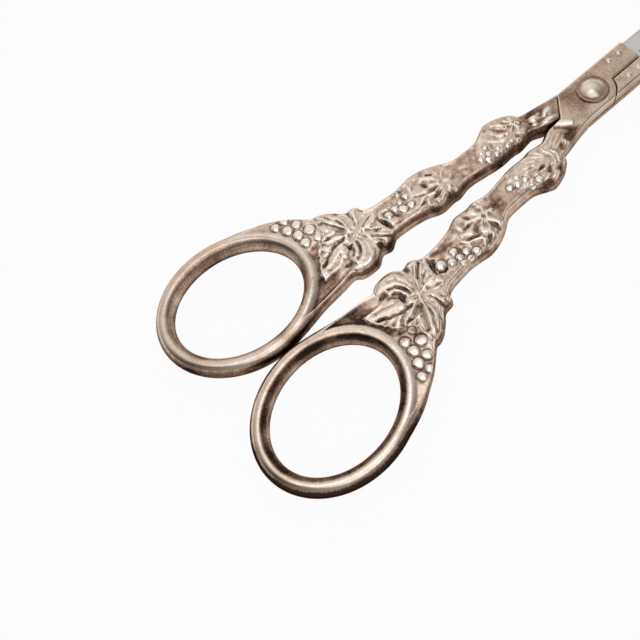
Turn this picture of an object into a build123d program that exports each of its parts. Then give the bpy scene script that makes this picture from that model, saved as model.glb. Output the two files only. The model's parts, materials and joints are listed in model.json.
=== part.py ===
from build123d import *

import os
from math import cos, radians, sin, sqrt

# Grape shears lying flat and closed: two cast handles crossed at a half-lap, with steel blades.
# The model is drawn about the pivot axis, with +Y towards the blade tips and z = 0 between the halves,
# and is moved at the end so that its origin is the centre of the underside of its box.

# Finger bows: an oval ring of oval section at the end of each handle
bow_reach = 99.0
bow_half_width = 15.5
bow_half_length = 18.9
bow_tilt = 10.2
bow_rim_width = 4.5
bow_rim_height = 5.5
bow_gap = 0.3

# Arms and web, as wide as the outlines below say
handle_thickness = 4.8
edge_rounding = 0.8
web_recess_depth = 0.8

# Vine ornament on both faces
ornament_rise = 0.5
large_grape_radius = 1.4
small_grape_radius = 0.85
grape_sink = 0.1

# Half-lap joint
lap_width = 10.6
lap_end_radius = 5.7
lap_shoulder_drop = 6.7
lap_crotch_drop = 11.2
crotch_gap = 0.3
shoulder_clearance = 0.1
face_clearance = 0.06

# Blades
blade_reach = 49.7
bolster_reach = 15.0
blade_overlap = 1.0
blade_thickness = 1.7
bevel_width = 1.3
bevel_land = 0.5
fence_gap = 0.3

# Tangs and their rivets
tang_length = 8.0
tang_thickness = 1.0
tang_width = 3.2
tang_height = 0.55
rivets_per_blade = 2
rivet_radius = 0.7
rivet_inset = 2.5
rivet_spacing = 3.4
rivet_dome = 0.2
fixed_clearance = 0.01

# Pivot
pin_radius = 1.6
pin_running_clearance = 0.05
pin_head_radius = 3.0
pin_head_height = 0.9
pin_end_inset = 0.15
washer_radius = 4.0
washer_thickness = 0.4
nut_radius = 2.6
nut_thickness = 1.0
nut_slot_width = 0.8
nut_slot_depth = 0.4

cut_overrun = 2.0

# Edges of the right arm, from the lap to the web: x as a share of bow_reach, y as a share of the arm
arm_outer_shares = (
    (0.057, 0.074), (0.057, 0.114), (0.061, 0.165), (0.070, 0.239), (0.078, 0.286), (0.093, 0.307),
    (0.110, 0.350), (0.119, 0.404), (0.114, 0.438), (0.101, 0.484), (0.097, 0.536), (0.098, 0.601),
    (0.103, 0.637), (0.118, 0.676), (0.133, 0.725), (0.141, 0.784), (0.138, 0.837), (0.136, 0.882),
    (0.138, 0.925), (0.145, 0.990),
)
arm_inner_shares = (
    (0.003, 0.074), (0.003, 0.186), (0.004, 0.230), (0.006, 0.266), (0.014, 0.301), (0.016, 0.325),
    (0.013, 0.374), (0.015, 0.413), (0.017, 0.484), (0.022, 0.544), (0.028, 0.608), (0.028, 0.647),
    (0.023, 0.693), (0.024, 0.725), (0.022, 0.765), (0.025, 0.797), (0.037, 0.851), (0.045, 0.917),
    (0.049, 0.980),
)

# The web's rise above a bow's centre, as a share of bow_half_length: the arm takes the rest of bow_reach
web_rise_share = 2.03

# Edges of the web, from the bow's centre: x as a share of bow_half_width, y as a share of bow_half_length
web_outer_shares = (
    (-0.165, 1.963), (-0.050, 1.902), (-0.012, 1.781), (0.077, 1.692), (0.206, 1.582), (0.263, 1.487),
    (0.282, 1.388), (0.378, 1.278), (0.563, 1.110), (0.716, 0.916), (0.864, 0.696), (0.972, 0.487),
    (1.010, 0.314),
)
web_inner_shares = (
    (-0.868, 2.011), (-0.944, 1.896), (-0.925, 1.771), (-1.014, 1.640), (-1.040, 1.519), (-1.008, 1.372),
    (-0.937, 1.278), (-0.983, 1.048), (-1.059, 0.733), (-1.104, 0.471), (-1.085, 0.314),
)

# Sunk panels of the web, on each side of the bow's shoulder, in the web's shares
inner_panel_shares = ((-0.830, 1.231), (-0.740, 1.205), (-0.727, 0.969), (-0.881, 0.723), (-0.957, 0.629))
outer_panel_shares = ((0.512, 1.058), (0.620, 0.932), (0.780, 0.691), (0.831, 0.576), (0.678, 0.744))

# Raised leaves: the big one in the web's shares, the others in the arm's
big_leaf_shares = (
    (-0.804, 2.006), (-0.893, 1.938), (-0.919, 1.833), (-0.861, 1.744), (-0.951, 1.671), (-1.008, 1.550),
    (-0.996, 1.430), (-0.925, 1.336), (-0.804, 1.351), (-0.740, 1.299), (-0.715, 1.110), (-0.695, 0.990),
    (-0.568, 0.985), (-0.472, 1.021), (-0.382, 1.100), (-0.229, 1.194), (-0.185, 1.310), (-0.153, 1.393),
    (0.052, 1.372), (0.237, 1.388), (0.237, 1.493), (0.141, 1.592), (0.014, 1.687), (-0.025, 1.807),
    (-0.070, 1.875), (-0.191, 1.917), (-0.319, 1.928), (-0.485, 2.001), (-0.651, 2.032),
)
middle_leaf_shares = (
    (0.060, 0.665), (0.036, 0.686), (0.028, 0.712), (0.032, 0.735), (0.027, 0.768), (0.030, 0.799),
    (0.044, 0.833), (0.064, 0.851), (0.084, 0.845), (0.097, 0.812), (0.109, 0.786), (0.126, 0.799),
    (0.136, 0.796), (0.136, 0.768), (0.129, 0.735), (0.119, 0.703), (0.108, 0.676), (0.088, 0.662),
)
upper_leaf_shares = (
    (0.036, 0.314), (0.022, 0.337), (0.018, 0.369), (0.022, 0.412), (0.030, 0.454), (0.048, 0.482),
    (0.068, 0.467), (0.082, 0.438), (0.098, 0.420), (0.113, 0.417), (0.113, 0.389), (0.106, 0.351),
    (0.092, 0.320), (0.066, 0.309),
)

# Grapes: centre of each in the web's or the arm's shares, and radius as a share of the cluster's radius
large_cluster_shares = (
    (-0.076, 1.299, 0.75), (0.122, 1.289, 1.05), (-0.006, 1.131, 1.0), (0.173, 1.131, 1.0),
    (0.339, 1.210, 0.9), (0.358, 1.079, 1.05), (0.518, 1.037, 0.85),
)
middle_cluster_shares = (
    (0.126, 0.822, 1.0), (0.114, 0.866, 1.0), (0.130, 0.866, 0.8), (0.111, 0.897, 1.1),
    (0.130, 0.899, 0.8), (0.111, 0.935, 1.1), (0.094, 0.970, 1.5), (0.088, 0.902, 1.0),
)
upper_cluster_shares = ((0.094, 0.446, 1.0), (0.086, 0.479, 0.9), (0.066, 0.520, 1.0), (0.058, 0.549, 0.9))

# Blade outline beyond the bolster: x as a share of the lap's half width, y as a share of the free blade
blade_back_shares = ((0.90, 0.0), (0.86, 0.30), (0.73, 0.62), (0.52, 0.86))
blade_tip_x_share = 0.16
blade_nose_y_share = 0.96

half_thickness = handle_thickness / 2
half_lap = lap_width / 2
face_level = face_clearance / 2
ornament_top = half_thickness + ornament_rise


def bow_offset():
    """Distance of each bow's centre from the plane between the bows."""
    across = (bow_half_width + bow_rim_width / 2) * cos(radians(bow_tilt))
    along = (bow_half_length + bow_rim_width / 2) * sin(radians(bow_tilt))
    return sqrt(across**2 + along**2) + bow_gap / 2


def on_arm(shares):
    """Points of the right arm, from x shares of bow_reach and y shares of the arm."""
    arm_length = bow_reach - web_rise_share * bow_half_length
    return [(across * bow_reach, -along * arm_length) for across, along, *_ in shares]


def on_web(shares):
    """Points of the right web, from shares of the bow's half sizes about the bow's centre."""
    middle = bow_offset()
    points = []
    for across, along, *_ in shares:
        points.append((middle + across * bow_half_width, along * bow_half_length - bow_reach))
    return points


def slab(face, low, high):
    """The face as a plate between two levels."""
    return Pos(0, 0, low) * extrude(face, amount=high - low)


def both_faces(solid):
    """The solid and its mirror image in the plane between the halves."""
    return solid + mirror(solid, Plane.XY)


def oval(half_width, half_length):
    """Filled oval about a bow's centre."""
    return Pos(bow_offset(), -bow_reach) * Rot(0, 0, bow_tilt) * Ellipse(half_width, half_length)


def bow_ring():
    """Finger bow: an oval section carried round an oval path."""
    centre = Pos(bow_offset(), -bow_reach) * Rot(0, 0, bow_tilt)
    path = centre * Edge.make_ellipse(bow_half_width, bow_half_length)
    start = Plane(origin=path @ 0, x_dir=(0, 0, 1), z_dir=path % 0)
    section = start * Ellipse(bow_rim_height / 2, bow_rim_width / 2)
    return sweep(section, path=path)


def arm_face():
    """Outline of arm and web, from inside the lap to the bow's sides, less the inside of the bow."""
    outer = Spline(*on_arm(arm_outer_shares), *on_web(web_outer_shares))
    inner = Spline(*on_arm(arm_inner_shares), *on_web(web_inner_shares))
    top = Line(inner @ 0, outer @ 0)
    bottom = Line(inner @ 1, outer @ 1)
    return make_face([outer, inner, top, bottom]) - oval(bow_half_width, bow_half_length)


def beyond_shoulder(side, clearance):
    """Everything on the arm's side of the slanting shoulder, on the left (side -1) or right (side 1)."""
    outer = (side * half_lap, -lap_shoulder_drop - clearance)
    crotch = (side * crotch_gap / 2, -lap_crotch_drop - clearance)
    far = side * (half_lap + bow_reach)
    low = -(bow_reach + bow_reach)
    rise = (lap_crotch_drop - lap_shoulder_drop) / (half_lap - crotch_gap / 2) * bow_reach
    points = (crotch, (far, outer[1] + rise), (far, low), (crotch[0], low))
    return make_face(Polyline(*points, close=True))


def strip(x_low, x_high, y_low, y_high):
    """Rectangle between two widths and two lengths."""
    middle = Pos((x_low + x_high) / 2, (y_low + y_high) / 2)
    return middle * Rectangle(x_high - x_low, y_high - y_low)


def lap_face():
    """Outline of the right handle's upper layer: lap plate, round lap end and blade side."""
    plate = strip(-half_lap, half_lap, -lap_crotch_drop, 0)
    end = Circle(lap_end_radius) & strip(-half_lap, half_lap, 0, lap_end_radius)
    side = strip(-half_lap, blade_overlap, 0, bolster_reach)
    below = strip(crotch_gap / 2, half_lap, -lap_crotch_drop, -lap_shoulder_drop)
    return plate + end + side - beyond_shoulder(-1, 0) - (below - arm_face())


def bolster_face():
    """Outline of the full-thickness bolster beside the blade's edge, clear of the other half's lap end."""
    side = strip(-half_lap, -blade_overlap - shoulder_clearance, 0, bolster_reach)
    return side - Circle(lap_end_radius + shoulder_clearance)


def raised(points):
    """One raised leaf, from inside the handle to the top of the ornament."""
    return slab(make_face(Polyline(*points, close=True)), 0, ornament_top)


def grapes(points, cluster, radius):
    """The grapes of one cluster, each just under the top of the ornament."""
    balls = []
    for point, share in zip(points, cluster):
        size = share[2] * radius
        balls.append(Pos(point[0], point[1], ornament_top - grape_sink - size) * Sphere(size))
    return balls


def ornament():
    """Leaves and grapes of the upper face, from the bow to the lap."""
    pieces = [raised(on_web(big_leaf_shares))]
    pieces += [raised(on_arm(shares)) for shares in (middle_leaf_shares, upper_leaf_shares)]
    pieces += grapes(on_web(large_cluster_shares), large_cluster_shares, large_grape_radius)
    for cluster in (middle_cluster_shares, upper_cluster_shares):
        pieces += grapes(on_arm(cluster), cluster, small_grape_radius)
    return pieces


def panel_cuts():
    """Sunk panels in the web's upper face."""
    low = half_thickness - web_recess_depth
    high = half_thickness + cut_overrun
    panels = (inner_panel_shares, outer_panel_shares)
    return [slab(make_face(Polyline(*on_web(shares), close=True)), low, high) for shares in panels]


def tang():
    """Tongue of the right blade inside its bolster."""
    middle = -(half_lap + blade_overlap + shoulder_clearance) / 2
    left = middle - tang_width / 2
    face = strip(left, left + tang_width, bolster_reach - tang_length, bolster_reach)
    return slab(face, tang_height, tang_height + tang_thickness)


def tang_slot():
    """Slot for the tang, open at the bolster's end."""
    middle = -(half_lap + blade_overlap + shoulder_clearance) / 2
    left = middle - tang_width / 2 - fixed_clearance
    width = tang_width + 2 * fixed_clearance
    low = bolster_reach - tang_length - fixed_clearance
    face = strip(left, left + width, low, bolster_reach + cut_overrun)
    return slab(face, tang_height - fixed_clearance, tang_height + tang_thickness + fixed_clearance)


def rivet_places():
    """Axes of the two rivets through the right bolster and tang."""
    x = -(half_lap + blade_overlap + shoulder_clearance) / 2
    first = bolster_reach - rivet_inset
    return [Pos(x, first - index * rivet_spacing) for index in range(rivets_per_blade)]


def rivet_holes():
    """Holes for the rivets."""
    depth = handle_thickness + 2 * cut_overrun
    return [place * Cylinder(rivet_radius + fixed_clearance, depth) for place in rivet_places()]


def rivet(place):
    """Rivet with a low dome on each face."""
    top = (0, half_thickness + rivet_dome)
    bottom = (0, -half_thickness - rivet_dome)
    upper = TangentArc(top, (rivet_radius, half_thickness), tangent=(1, 0))
    lower = TangentArc(bottom, (rivet_radius, -half_thickness), tangent=(1, 0))
    side = Line((rivet_radius, half_thickness), (rivet_radius, -half_thickness))
    profile = Plane.XZ * make_face([upper, side, lower, Line(bottom, top)])
    return place * revolve(profile, Axis.Z)


def rounded_arm():
    """Full-thickness arm and web, with their long edges rounded."""
    face = arm_face() & beyond_shoulder(1, shoulder_clearance)
    body = slab(face, -half_thickness, half_thickness)
    levels = body.edges().group_by(Axis.Z)
    long_edges = [edge for edge in levels[0] + levels[-1] if edge.length > bow_reach / 2]
    return fillet(long_edges, edge_rounding)


def plain_casting():
    """Right handle without its pivot hole."""
    body = rounded_arm()
    body += slab(lap_face(), face_level, half_thickness)
    body += slab(bolster_face(), -half_thickness, half_thickness)
    for cut in panel_cuts():
        body -= both_faces(cut)
    for piece in ornament():
        body += both_faces(piece)
    body += bow_ring()
    for hole in [tang_slot()] + rivet_holes():
        body -= hole
    return body


def turned_over(solid):
    """The right half's piece as it lies in the left half: turned half a turn about the long axis."""
    return Rot(0, 180, 0) * solid


def right_handle(casting):
    """Right handle, which turns on the pin."""
    return casting - Cylinder(pin_radius + pin_running_clearance, handle_thickness + cut_overrun)


def left_handle(casting):
    """Left handle, with a seat for the nut in its underside."""
    body = turned_over(casting) - Cylinder(pin_radius + fixed_clearance, handle_thickness + cut_overrun)
    seat_height = nut_thickness + cut_overrun
    seat_middle = nut_thickness - half_thickness - seat_height / 2
    return body - Pos(0, 0, seat_middle) * Cylinder(nut_radius + fixed_clearance, seat_height)


def blade_face():
    """Outline of the free part of a blade in the right half."""
    free = blade_reach - bolster_reach
    back = [(-share[0] * half_lap, bolster_reach + share[1] * free) for share in blade_back_shares]
    tip = (-blade_tip_x_share * half_lap, blade_reach)
    nose = (blade_overlap, bolster_reach + blade_nose_y_share * free)
    spine = Spline(*back, tip)
    front = Spline(tip, nose, tangents=[spine % 1, (0, -1)])
    edge = Line(nose, (blade_overlap, bolster_reach))
    butt = Line((blade_overlap, bolster_reach), back[0])
    return make_face([spine, front, edge, butt])


def bevel():
    """Wedge taken off the outer side of the cutting edge."""
    top = face_level + blade_thickness
    start = blade_overlap - bevel_width
    end = blade_overlap + cut_overrun
    slope = (blade_thickness - bevel_land) / bevel_width
    above = top + cut_overrun
    points = ((end, top - (end - start) * slope), (start, top), (start, above), (end, above))
    face = Plane.XZ * make_face(Polyline(*points, close=True))
    return Pos(0, bolster_reach + bevel_width + blade_reach) * extrude(face, amount=blade_reach)


def plain_blade():
    """Blade of the right half, bevelled on its upper side, with its tang."""
    body = slab(blade_face(), face_level, face_level + blade_thickness) - bevel() + tang()
    for hole in rivet_holes():
        body -= hole
    return body


def fenced_blade():
    """Blade of the left half, with a fence beside the other blade that grips the cut stem."""
    body = turned_over(plain_blade())
    outline = mirror(blade_face(), Plane.YZ)
    beside = strip(blade_overlap + fence_gap, half_lap, bolster_reach, blade_reach)
    low = -face_level - blade_thickness
    return body + slab(outline & beside, low, blade_thickness)


def pivot_pin():
    """Domed pin through washer, laps and nut."""
    seat = half_thickness + face_level + washer_thickness
    bottom = -half_thickness + pin_end_inset
    top = (0, seat + pin_head_height)
    dome = TangentArc(top, (pin_head_radius, seat), tangent=(1, 0))
    rest = Polyline((pin_head_radius, seat), (pin_radius, seat), (pin_radius, bottom), (0, bottom), top)
    return revolve(Plane.XZ * make_face([dome, rest]), Axis.Z)


def pivot_washer():
    """Ring under the pin's head."""
    middle = half_thickness + face_level + washer_thickness / 2
    hole = Cylinder(pin_radius + fixed_clearance, washer_thickness)
    return Pos(0, 0, middle) * (Cylinder(washer_radius, washer_thickness) - hole)


def pivot_nut():
    """Round nut, flush with the underside, with a slot for a driver."""
    body = Cylinder(nut_radius, nut_thickness) - Cylinder(pin_radius + fixed_clearance, nut_thickness)
    slot = Pos(0, 0, -nut_thickness / 2) * Box(2 * nut_radius, nut_slot_width, 2 * nut_slot_depth)
    return Pos(0, 0, -half_thickness + nut_thickness / 2) * (body - slot)


def all_pieces():
    """Every piece by node name, about the pivot."""
    casting = plain_casting()
    pieces = {
        "right_handle": right_handle(casting),
        "left_handle": left_handle(casting),
        "right_blade": plain_blade(),
        "left_blade": fenced_blade(),
        "pivot_pin": pivot_pin(),
        "pivot_washer": pivot_washer(),
        "pivot_nut": pivot_nut(),
    }
    for number, place in enumerate(rivet_places(), start=1):
        pieces[f"right_blade_rivet_{number}"] = rivet(place)
        pieces[f"left_blade_rivet_{number}"] = turned_over(rivet(place))
    return pieces


def main():
    """Write each piece, with the origin moved to the centre of the underside of the whole."""
    pieces = all_pieces()
    box = Compound(children=[Compound([solid]) for solid in pieces.values()]).bounding_box()
    shift = Pos(-(box.min.X + box.max.X) / 2, -(box.min.Y + box.max.Y) / 2, -box.min.Z)
    os.makedirs("parts", exist_ok=True)
    for name, solid in pieces.items():
        export_step(shift * solid, f"parts/{name}.step")
    print("pivot at", tuple(round(value, 4) for value in shift.position), "size", box.size)


main()
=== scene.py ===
import json
import logging
import math
from dataclasses import dataclass, field
from enum import Enum

import bmesh
import bpy
import numpy as np
from mathutils import Matrix, Vector


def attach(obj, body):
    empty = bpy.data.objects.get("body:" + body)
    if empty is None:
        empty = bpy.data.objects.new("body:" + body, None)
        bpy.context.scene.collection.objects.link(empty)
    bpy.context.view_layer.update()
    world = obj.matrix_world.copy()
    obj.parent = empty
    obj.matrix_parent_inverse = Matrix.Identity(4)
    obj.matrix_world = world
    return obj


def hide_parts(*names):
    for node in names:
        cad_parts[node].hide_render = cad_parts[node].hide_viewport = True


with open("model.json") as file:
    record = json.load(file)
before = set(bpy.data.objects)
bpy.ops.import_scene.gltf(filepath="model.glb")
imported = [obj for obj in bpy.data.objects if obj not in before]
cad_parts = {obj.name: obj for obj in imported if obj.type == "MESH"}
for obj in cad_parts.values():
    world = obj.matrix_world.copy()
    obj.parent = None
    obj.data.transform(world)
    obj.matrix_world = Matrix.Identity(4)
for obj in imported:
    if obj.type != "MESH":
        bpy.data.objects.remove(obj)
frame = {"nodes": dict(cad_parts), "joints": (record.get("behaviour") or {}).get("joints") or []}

# Grape shears lying closed: two cast, silver-plated handles with vine relief, crossed at a half-lap.
# Shapes are worked out in millimetres about the pivot, for the right half as seen from above,
# and are put into the shared frame in metres when a mesh is made.

log = logging.getLogger("grape_shears")

MILLIMETRE = 0.001
TINY = 1e-6
PIVOT = tuple(value / MILLIMETRE for value in frame["joints"][0]["pos_m"])
NOISE_TURN = 0.6
NOISE_STRIDES = (127.1, 311.7, 74.7)
NOISE_SCRAMBLE = 43758.5453

# A Pair is an x and y, or where something starts and ends. A Path is a row of x, y points. A Table gives
# a value for each of a row of places. A Profile gives inset, level and darkness for each place of an edge,
# the darkness being tarnish with painted shade on the walls.
Pair = tuple[float, float]
Path = tuple[Pair, ...]
Table = tuple[Pair, ...]
Triple = tuple[float, float, float]
Colour = Triple
Stops = tuple[tuple[float, Colour], ...]
Profile = tuple[Triple, ...]
Ends = tuple[np.ndarray, np.ndarray]


class Half(Enum):
    """The two halves of the shears, with the sign that turns the right one into each."""

    RIGHT = 1
    LEFT = -1

    @property
    def label(self) -> str:
        """First word of the names of the half's pieces."""
        return self.name.lower()

    @property
    def body(self) -> str:
        """Name of the body that the half's pieces ride on."""
        return f"{self.label}_half"

    def pick(self, right: object, left: object) -> object:
        """The half's own one of two choices."""
        return right if self is Half.RIGHT else left


class Slot(Enum):
    """Material slots of the record; each new shell keeps one, but takes its finish from the material it is
    built with.
    """

    SILVER = "silver_plate"
    PIVOT = "pivot_metal"


def smooth_step(low: float, high: float, value: np.ndarray) -> np.ndarray:
    """S-shaped rise from 0 to 1: three t squared less two t cubed, with t the share from low to high.

    Args:
        low: where the rise starts.
        high: where it ends; below low for a fall.
        value: the values to map.

    Returns:
        The rise at each value.
    """
    share = np.clip((value - low) / (high - low), 0.0, 1.0)
    return share * share * (3.0 - 2.0 * share)


def by_y(table: Table, y: np.ndarray) -> np.ndarray:
    """Value at each y, by straight lines between the rows of a table that runs towards the bow."""
    rows = np.array(table)[::-1]
    return np.interp(y, rows[:, 0], rows[:, 1])


def value_noise(x: np.ndarray, y: np.ndarray, size: float, seed: int) -> np.ndarray:
    """Smooth uneven field between -1 and 1: scrambled values on a turned lattice, blended between corners.

    Args:
        x: x of the points.
        y: y of the points.
        size: spacing of the lattice.
        seed: number that picks the lattice.

    Returns:
        The field at each point.
    """
    turn = NOISE_TURN * seed
    across = (x * math.cos(turn) + y * math.sin(turn)) / size
    upward = (y * math.cos(turn) - x * math.sin(turn)) / size
    column, row = np.floor(across), np.floor(upward)
    right, above = smooth_step(0.0, 1.0, across - column), smooth_step(0.0, 1.0, upward - row)
    per_column, per_row, per_seed = NOISE_STRIDES

    def corner(step_across: int, step_up: int) -> np.ndarray:
        """Scrambled value of one corner: the fraction left of a large multiple of a sine."""
        phase = (column + step_across) * per_column + (row + step_up) * per_row + seed * per_seed
        wave = NOISE_SCRAMBLE * np.sin(phase)
        return 2.0 * (wave - np.floor(wave)) - 1.0

    low = corner(0, 0) + (corner(1, 0) - corner(0, 0)) * right
    high = corner(0, 1) + (corner(1, 1) - corner(0, 1)) * right
    return low + (high - low) * above


@dataclass(frozen=True)
class Mottle:
    """One layer of uneven noise: its strength, size and seed, and how far it is drawn together each way."""

    strength: float
    size: float
    seed: int
    along_x: float = 1.0
    along_y: float = 1.0

    def at(self, x: np.ndarray, y: np.ndarray) -> np.ndarray:
        """Strength times the noise at each point, its x and y times the layer's own."""
        return self.strength * value_noise(self.along_x * x, self.along_y * y, self.size, self.seed)


def mottled(layers: tuple[Mottle, ...], x: np.ndarray, y: np.ndarray) -> np.ndarray:
    """Sum of the layers of noise at each point."""
    return sum(layer.at(x, y) for layer in layers)


def box_blur(values: np.ndarray, reach: int) -> np.ndarray:
    """Mean over a square window of the grid, by differences of running sums with the borders repeated.

    Args:
        values: one value to each grid point.
        reach: grid points from the window's middle to its edge.

    Returns:
        The mean at each grid point.
    """
    sums = np.pad(values, (reach + 1, reach), mode="edge").cumsum(0).cumsum(1)
    side = 2 * reach + 1
    total = sums[side:, side:] - sums[:-side, side:] - sums[side:, :-side] + sums[:-side, :-side]
    return total / (side * side)


def fair_curve(points: Path, steps: int = 24) -> np.ndarray:
    """Curve through given points: a Catmull-Rom cubic on each span between two points.

    Args:
        points: the points in order.
        steps: samples on each span.

    Returns:
        An array of samples, one x, y pair to a row.
    """
    knots = np.array(points, float)
    padded = np.vstack([2 * knots[0] - knots[1], knots, 2 * knots[-1] - knots[-2]])
    share = np.linspace(0.0, 1.0, steps, endpoint=False)[:, None]
    before, start, end, after = (padded[i:len(knots) - 1 + i, None, :] for i in range(4))
    spans = 0.5 * (
        2 * start
        + (end - before) * share
        + (2 * before - 5 * start + 4 * end - after) * share**2
        + (3 * start - before - 3 * end + after) * share**3
    )
    return np.vstack([spans.reshape(-1, 2), knots[-1]])


def along_and_across(path: Path, x: np.ndarray, y: np.ndarray) -> tuple[np.ndarray, np.ndarray]:
    """Place of each point beside a path: how far along the nearest leg, and the signed distance from it.

    Args:
        path: the corners of the path.
        x: x of the points.
        y: y of the points.

    Returns:
        The share of the path's length, and the distance, positive on the path's left.
    """
    corners = np.array(path, float)
    legs = np.diff(corners, axis=0)
    lengths = np.hypot(legs[:, 0], legs[:, 1])
    starts = np.concatenate([[0.0], np.cumsum(lengths)])
    best = np.full(x.shape, np.inf)
    share, side = np.zeros(x.shape), np.zeros(x.shape)
    for corner, leg, length, start in zip(corners, legs, lengths, starts):
        dx, dy = x - corner[0], y - corner[1]
        run = np.clip((dx * leg[0] + dy * leg[1]) / length**2, 0.0, 1.0)
        gap = np.hypot(dx - run * leg[0], dy - run * leg[1])
        left = np.where(leg[0] * dy - leg[1] * dx >= 0.0, 1.0, -1.0)
        nearer = gap < best
        best = np.where(nearer, gap, best)
        share = np.where(nearer, (start + run * length) / starts[-1], share)
        side = np.where(nearer, left, side)
    return share, best * side


def inside_distance(corners: Path, x: np.ndarray, y: np.ndarray) -> np.ndarray:
    """Signed distance to a closed outline: the gap to its nearest side, positive inside by even-odd count.

    Args:
        corners: the outline's corners.
        x: x of the points.
        y: y of the points.

    Returns:
        The distance of each point.
    """
    closed = corners + (corners[0],)
    _, gap = along_and_across(closed, x, y)
    inside = np.zeros(x.shape, bool)
    for (ax, ay), (bx, by) in zip(closed[:-1], closed[1:]):
        crosses = (ay > y) != (by > y)
        reach = ax + (y - ay) * (bx - ax) / (by - ay if by != ay else TINY)
        inside ^= crosses & (x < reach)
    return np.where(inside, np.abs(gap), -np.abs(gap))


class Feature:
    """One thing drawn on the casting's upper face, or one stain in its tarnish."""

    def apply(self, level: np.ndarray, x: np.ndarray, y: np.ndarray) -> np.ndarray:
        """Level with the feature added; each kind of feature gives its own law.

        Args:
            level: what the surface has at each point so far, in height or in tarnish.
            x: x of the points.
            y: y of the points.

        Returns:
            The new level of each point.
        """
        raise NotImplementedError


@dataclass(frozen=True)
class Stroke(Feature):
    """A vein, crease or bead line: a bell-shaped ridge or groove along a path, fading at its ends."""

    path: Path
    rise: float
    width: float = 0.3
    fade: float = 0.15
    softness: float = 1.45

    def apply(self, level: np.ndarray, x: np.ndarray, y: np.ndarray) -> np.ndarray:
        """Level with the stroke added: rise times a bell of the distance from the path.

        Args:
            level: what the surface has at each point so far, in height or in tarnish.
            x: x of the points.
            y: y of the points.

        Returns:
            The new level of each point.
        """
        share, gap = along_and_across(self.path, x, y)
        ends = smooth_step(0.0, self.fade, share) * smooth_step(0.0, self.fade, 1.0 - share)
        return level + self.rise * ends * np.exp(-((gap / (self.width * self.softness)) ** 2))


@dataclass(frozen=True)
class Pad(Feature):
    """A plate inside a closed outline, raised or sunk to one level, with sloping sides and a crown."""

    corners: Path
    level: float
    slope: float = 0.35
    crown: float = 0.0
    crown_width: float = 1.2

    def apply(self, level: np.ndarray, x: np.ndarray, y: np.ndarray) -> np.ndarray:
        """Level moved to the pad's own by the share inside its outline, plus a crown that grows inwards.

        Args:
            level: what the surface has at each point so far, in height or in tarnish.
            x: x of the points.
            y: y of the points.

        Returns:
            The new level of each point.
        """
        gap = inside_distance(self.corners, x, y)
        inside = smooth_step(-self.slope, self.slope, gap)
        top = self.level + self.crown * (1.0 - np.exp(-np.clip(gap, 0.0, None) / self.crown_width))
        return level + (top - level) * inside


@dataclass(frozen=True)
class Grape(Feature):
    """One grape: a low dome on the level around it, with a narrow groove round its foot."""

    x: float
    y: float
    radius: float
    fullness: float = 0.3
    groove: float = 0.08
    groove_width: float = 0.15
    # Darkness of the top: worn pale, with a painted highlight.
    paled: float = 0.04
    roundness: float = 0.65
    pale_top_reach: Pair = (1.05, 0.75)

    def apply(self, level: np.ndarray, x: np.ndarray, y: np.ndarray) -> np.ndarray:
        """Level, less a bell round the rim, plus the radius times the fullness by a law of the distance.

        Args:
            level: what the surface has at each point so far, in height or in tarnish.
            x: x of the points.
            y: y of the points.

        Returns:
            The new level of each point.
        """
        gap = np.hypot(x - self.x, y - self.y)
        groove = self.groove * self.radius * np.exp(-(((gap - self.radius) / self.groove_width) ** 2))
        dome = np.clip(1.0 - (gap / self.radius) ** 2, 0.0, None) ** self.roundness
        return level - groove + self.fullness * self.radius * dome

    def pale_top(self, tarnish_and_shading: np.ndarray, x: np.ndarray, y: np.ndarray) -> np.ndarray:
        """Darkness brought down to the grape top's own over all but its rim: the top worn pale, with a
        painted highlight.
        """
        gap = np.hypot(x - self.x, y - self.y) / self.radius
        return tarnish_and_shading + (self.paled - tarnish_and_shading) * smooth_step(*self.pale_top_reach, gap)


@dataclass(frozen=True)
class Bump(Feature):
    """A soft oval swelling, or a hollow where its rise is below zero."""

    x: float
    y: float
    along: float
    across: float
    turn: float
    rise: float
    steepness: float = 0.7
    flatness: float = 1.2

    def apply(self, level: np.ndarray, x: np.ndarray, y: np.ndarray) -> np.ndarray:
        """Level plus the rise times a bell, a little flattened on top, of the oval's own distance.

        Args:
            level: what the surface has at each point so far, in height or in tarnish.
            x: x of the points.
            y: y of the points.

        Returns:
            The new level of each point.
        """
        angle = math.radians(self.turn)
        dx, dy = x - self.x, y - self.y
        run = (dx * math.cos(angle) + dy * math.sin(angle)) / self.along
        side = (dy * math.cos(angle) - dx * math.sin(angle)) / self.across
        return level + self.rise * np.exp(-self.steepness * (run**2 + side**2) ** self.flatness)


@dataclass(frozen=True)
class Veining(Feature):
    """Fine uneven ridges that run out from the middle of a leaf."""

    x: float
    y: float
    reach: float
    rise: float = 0.05
    ridges: float = 46.0
    full_from: float = 4.5
    fade_share: float = 0.75
    stretch: float = 0.4

    def apply(self, level: np.ndarray, x: np.ndarray, y: np.ndarray) -> np.ndarray:
        """Level plus the rise times a noise of the turn and the distance, weaker close to the middle.

        Args:
            level: what the surface has at each point so far, in height or in tarnish.
            x: x of the points.
            y: y of the points.

        Returns:
            The new level of each point.
        """
        gap = np.hypot(x - self.x, y - self.y)
        turn = np.arctan2(x - self.x, self.y - y) / (2.0 * math.pi)
        near = np.clip(gap / self.full_from, 0.0, 1.0)
        near = near * smooth_step(self.reach, self.fade_share * self.reach, gap)
        return level + self.rise * near * value_noise(self.ridges * turn, self.stretch * gap, 1.0, 0)


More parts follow.
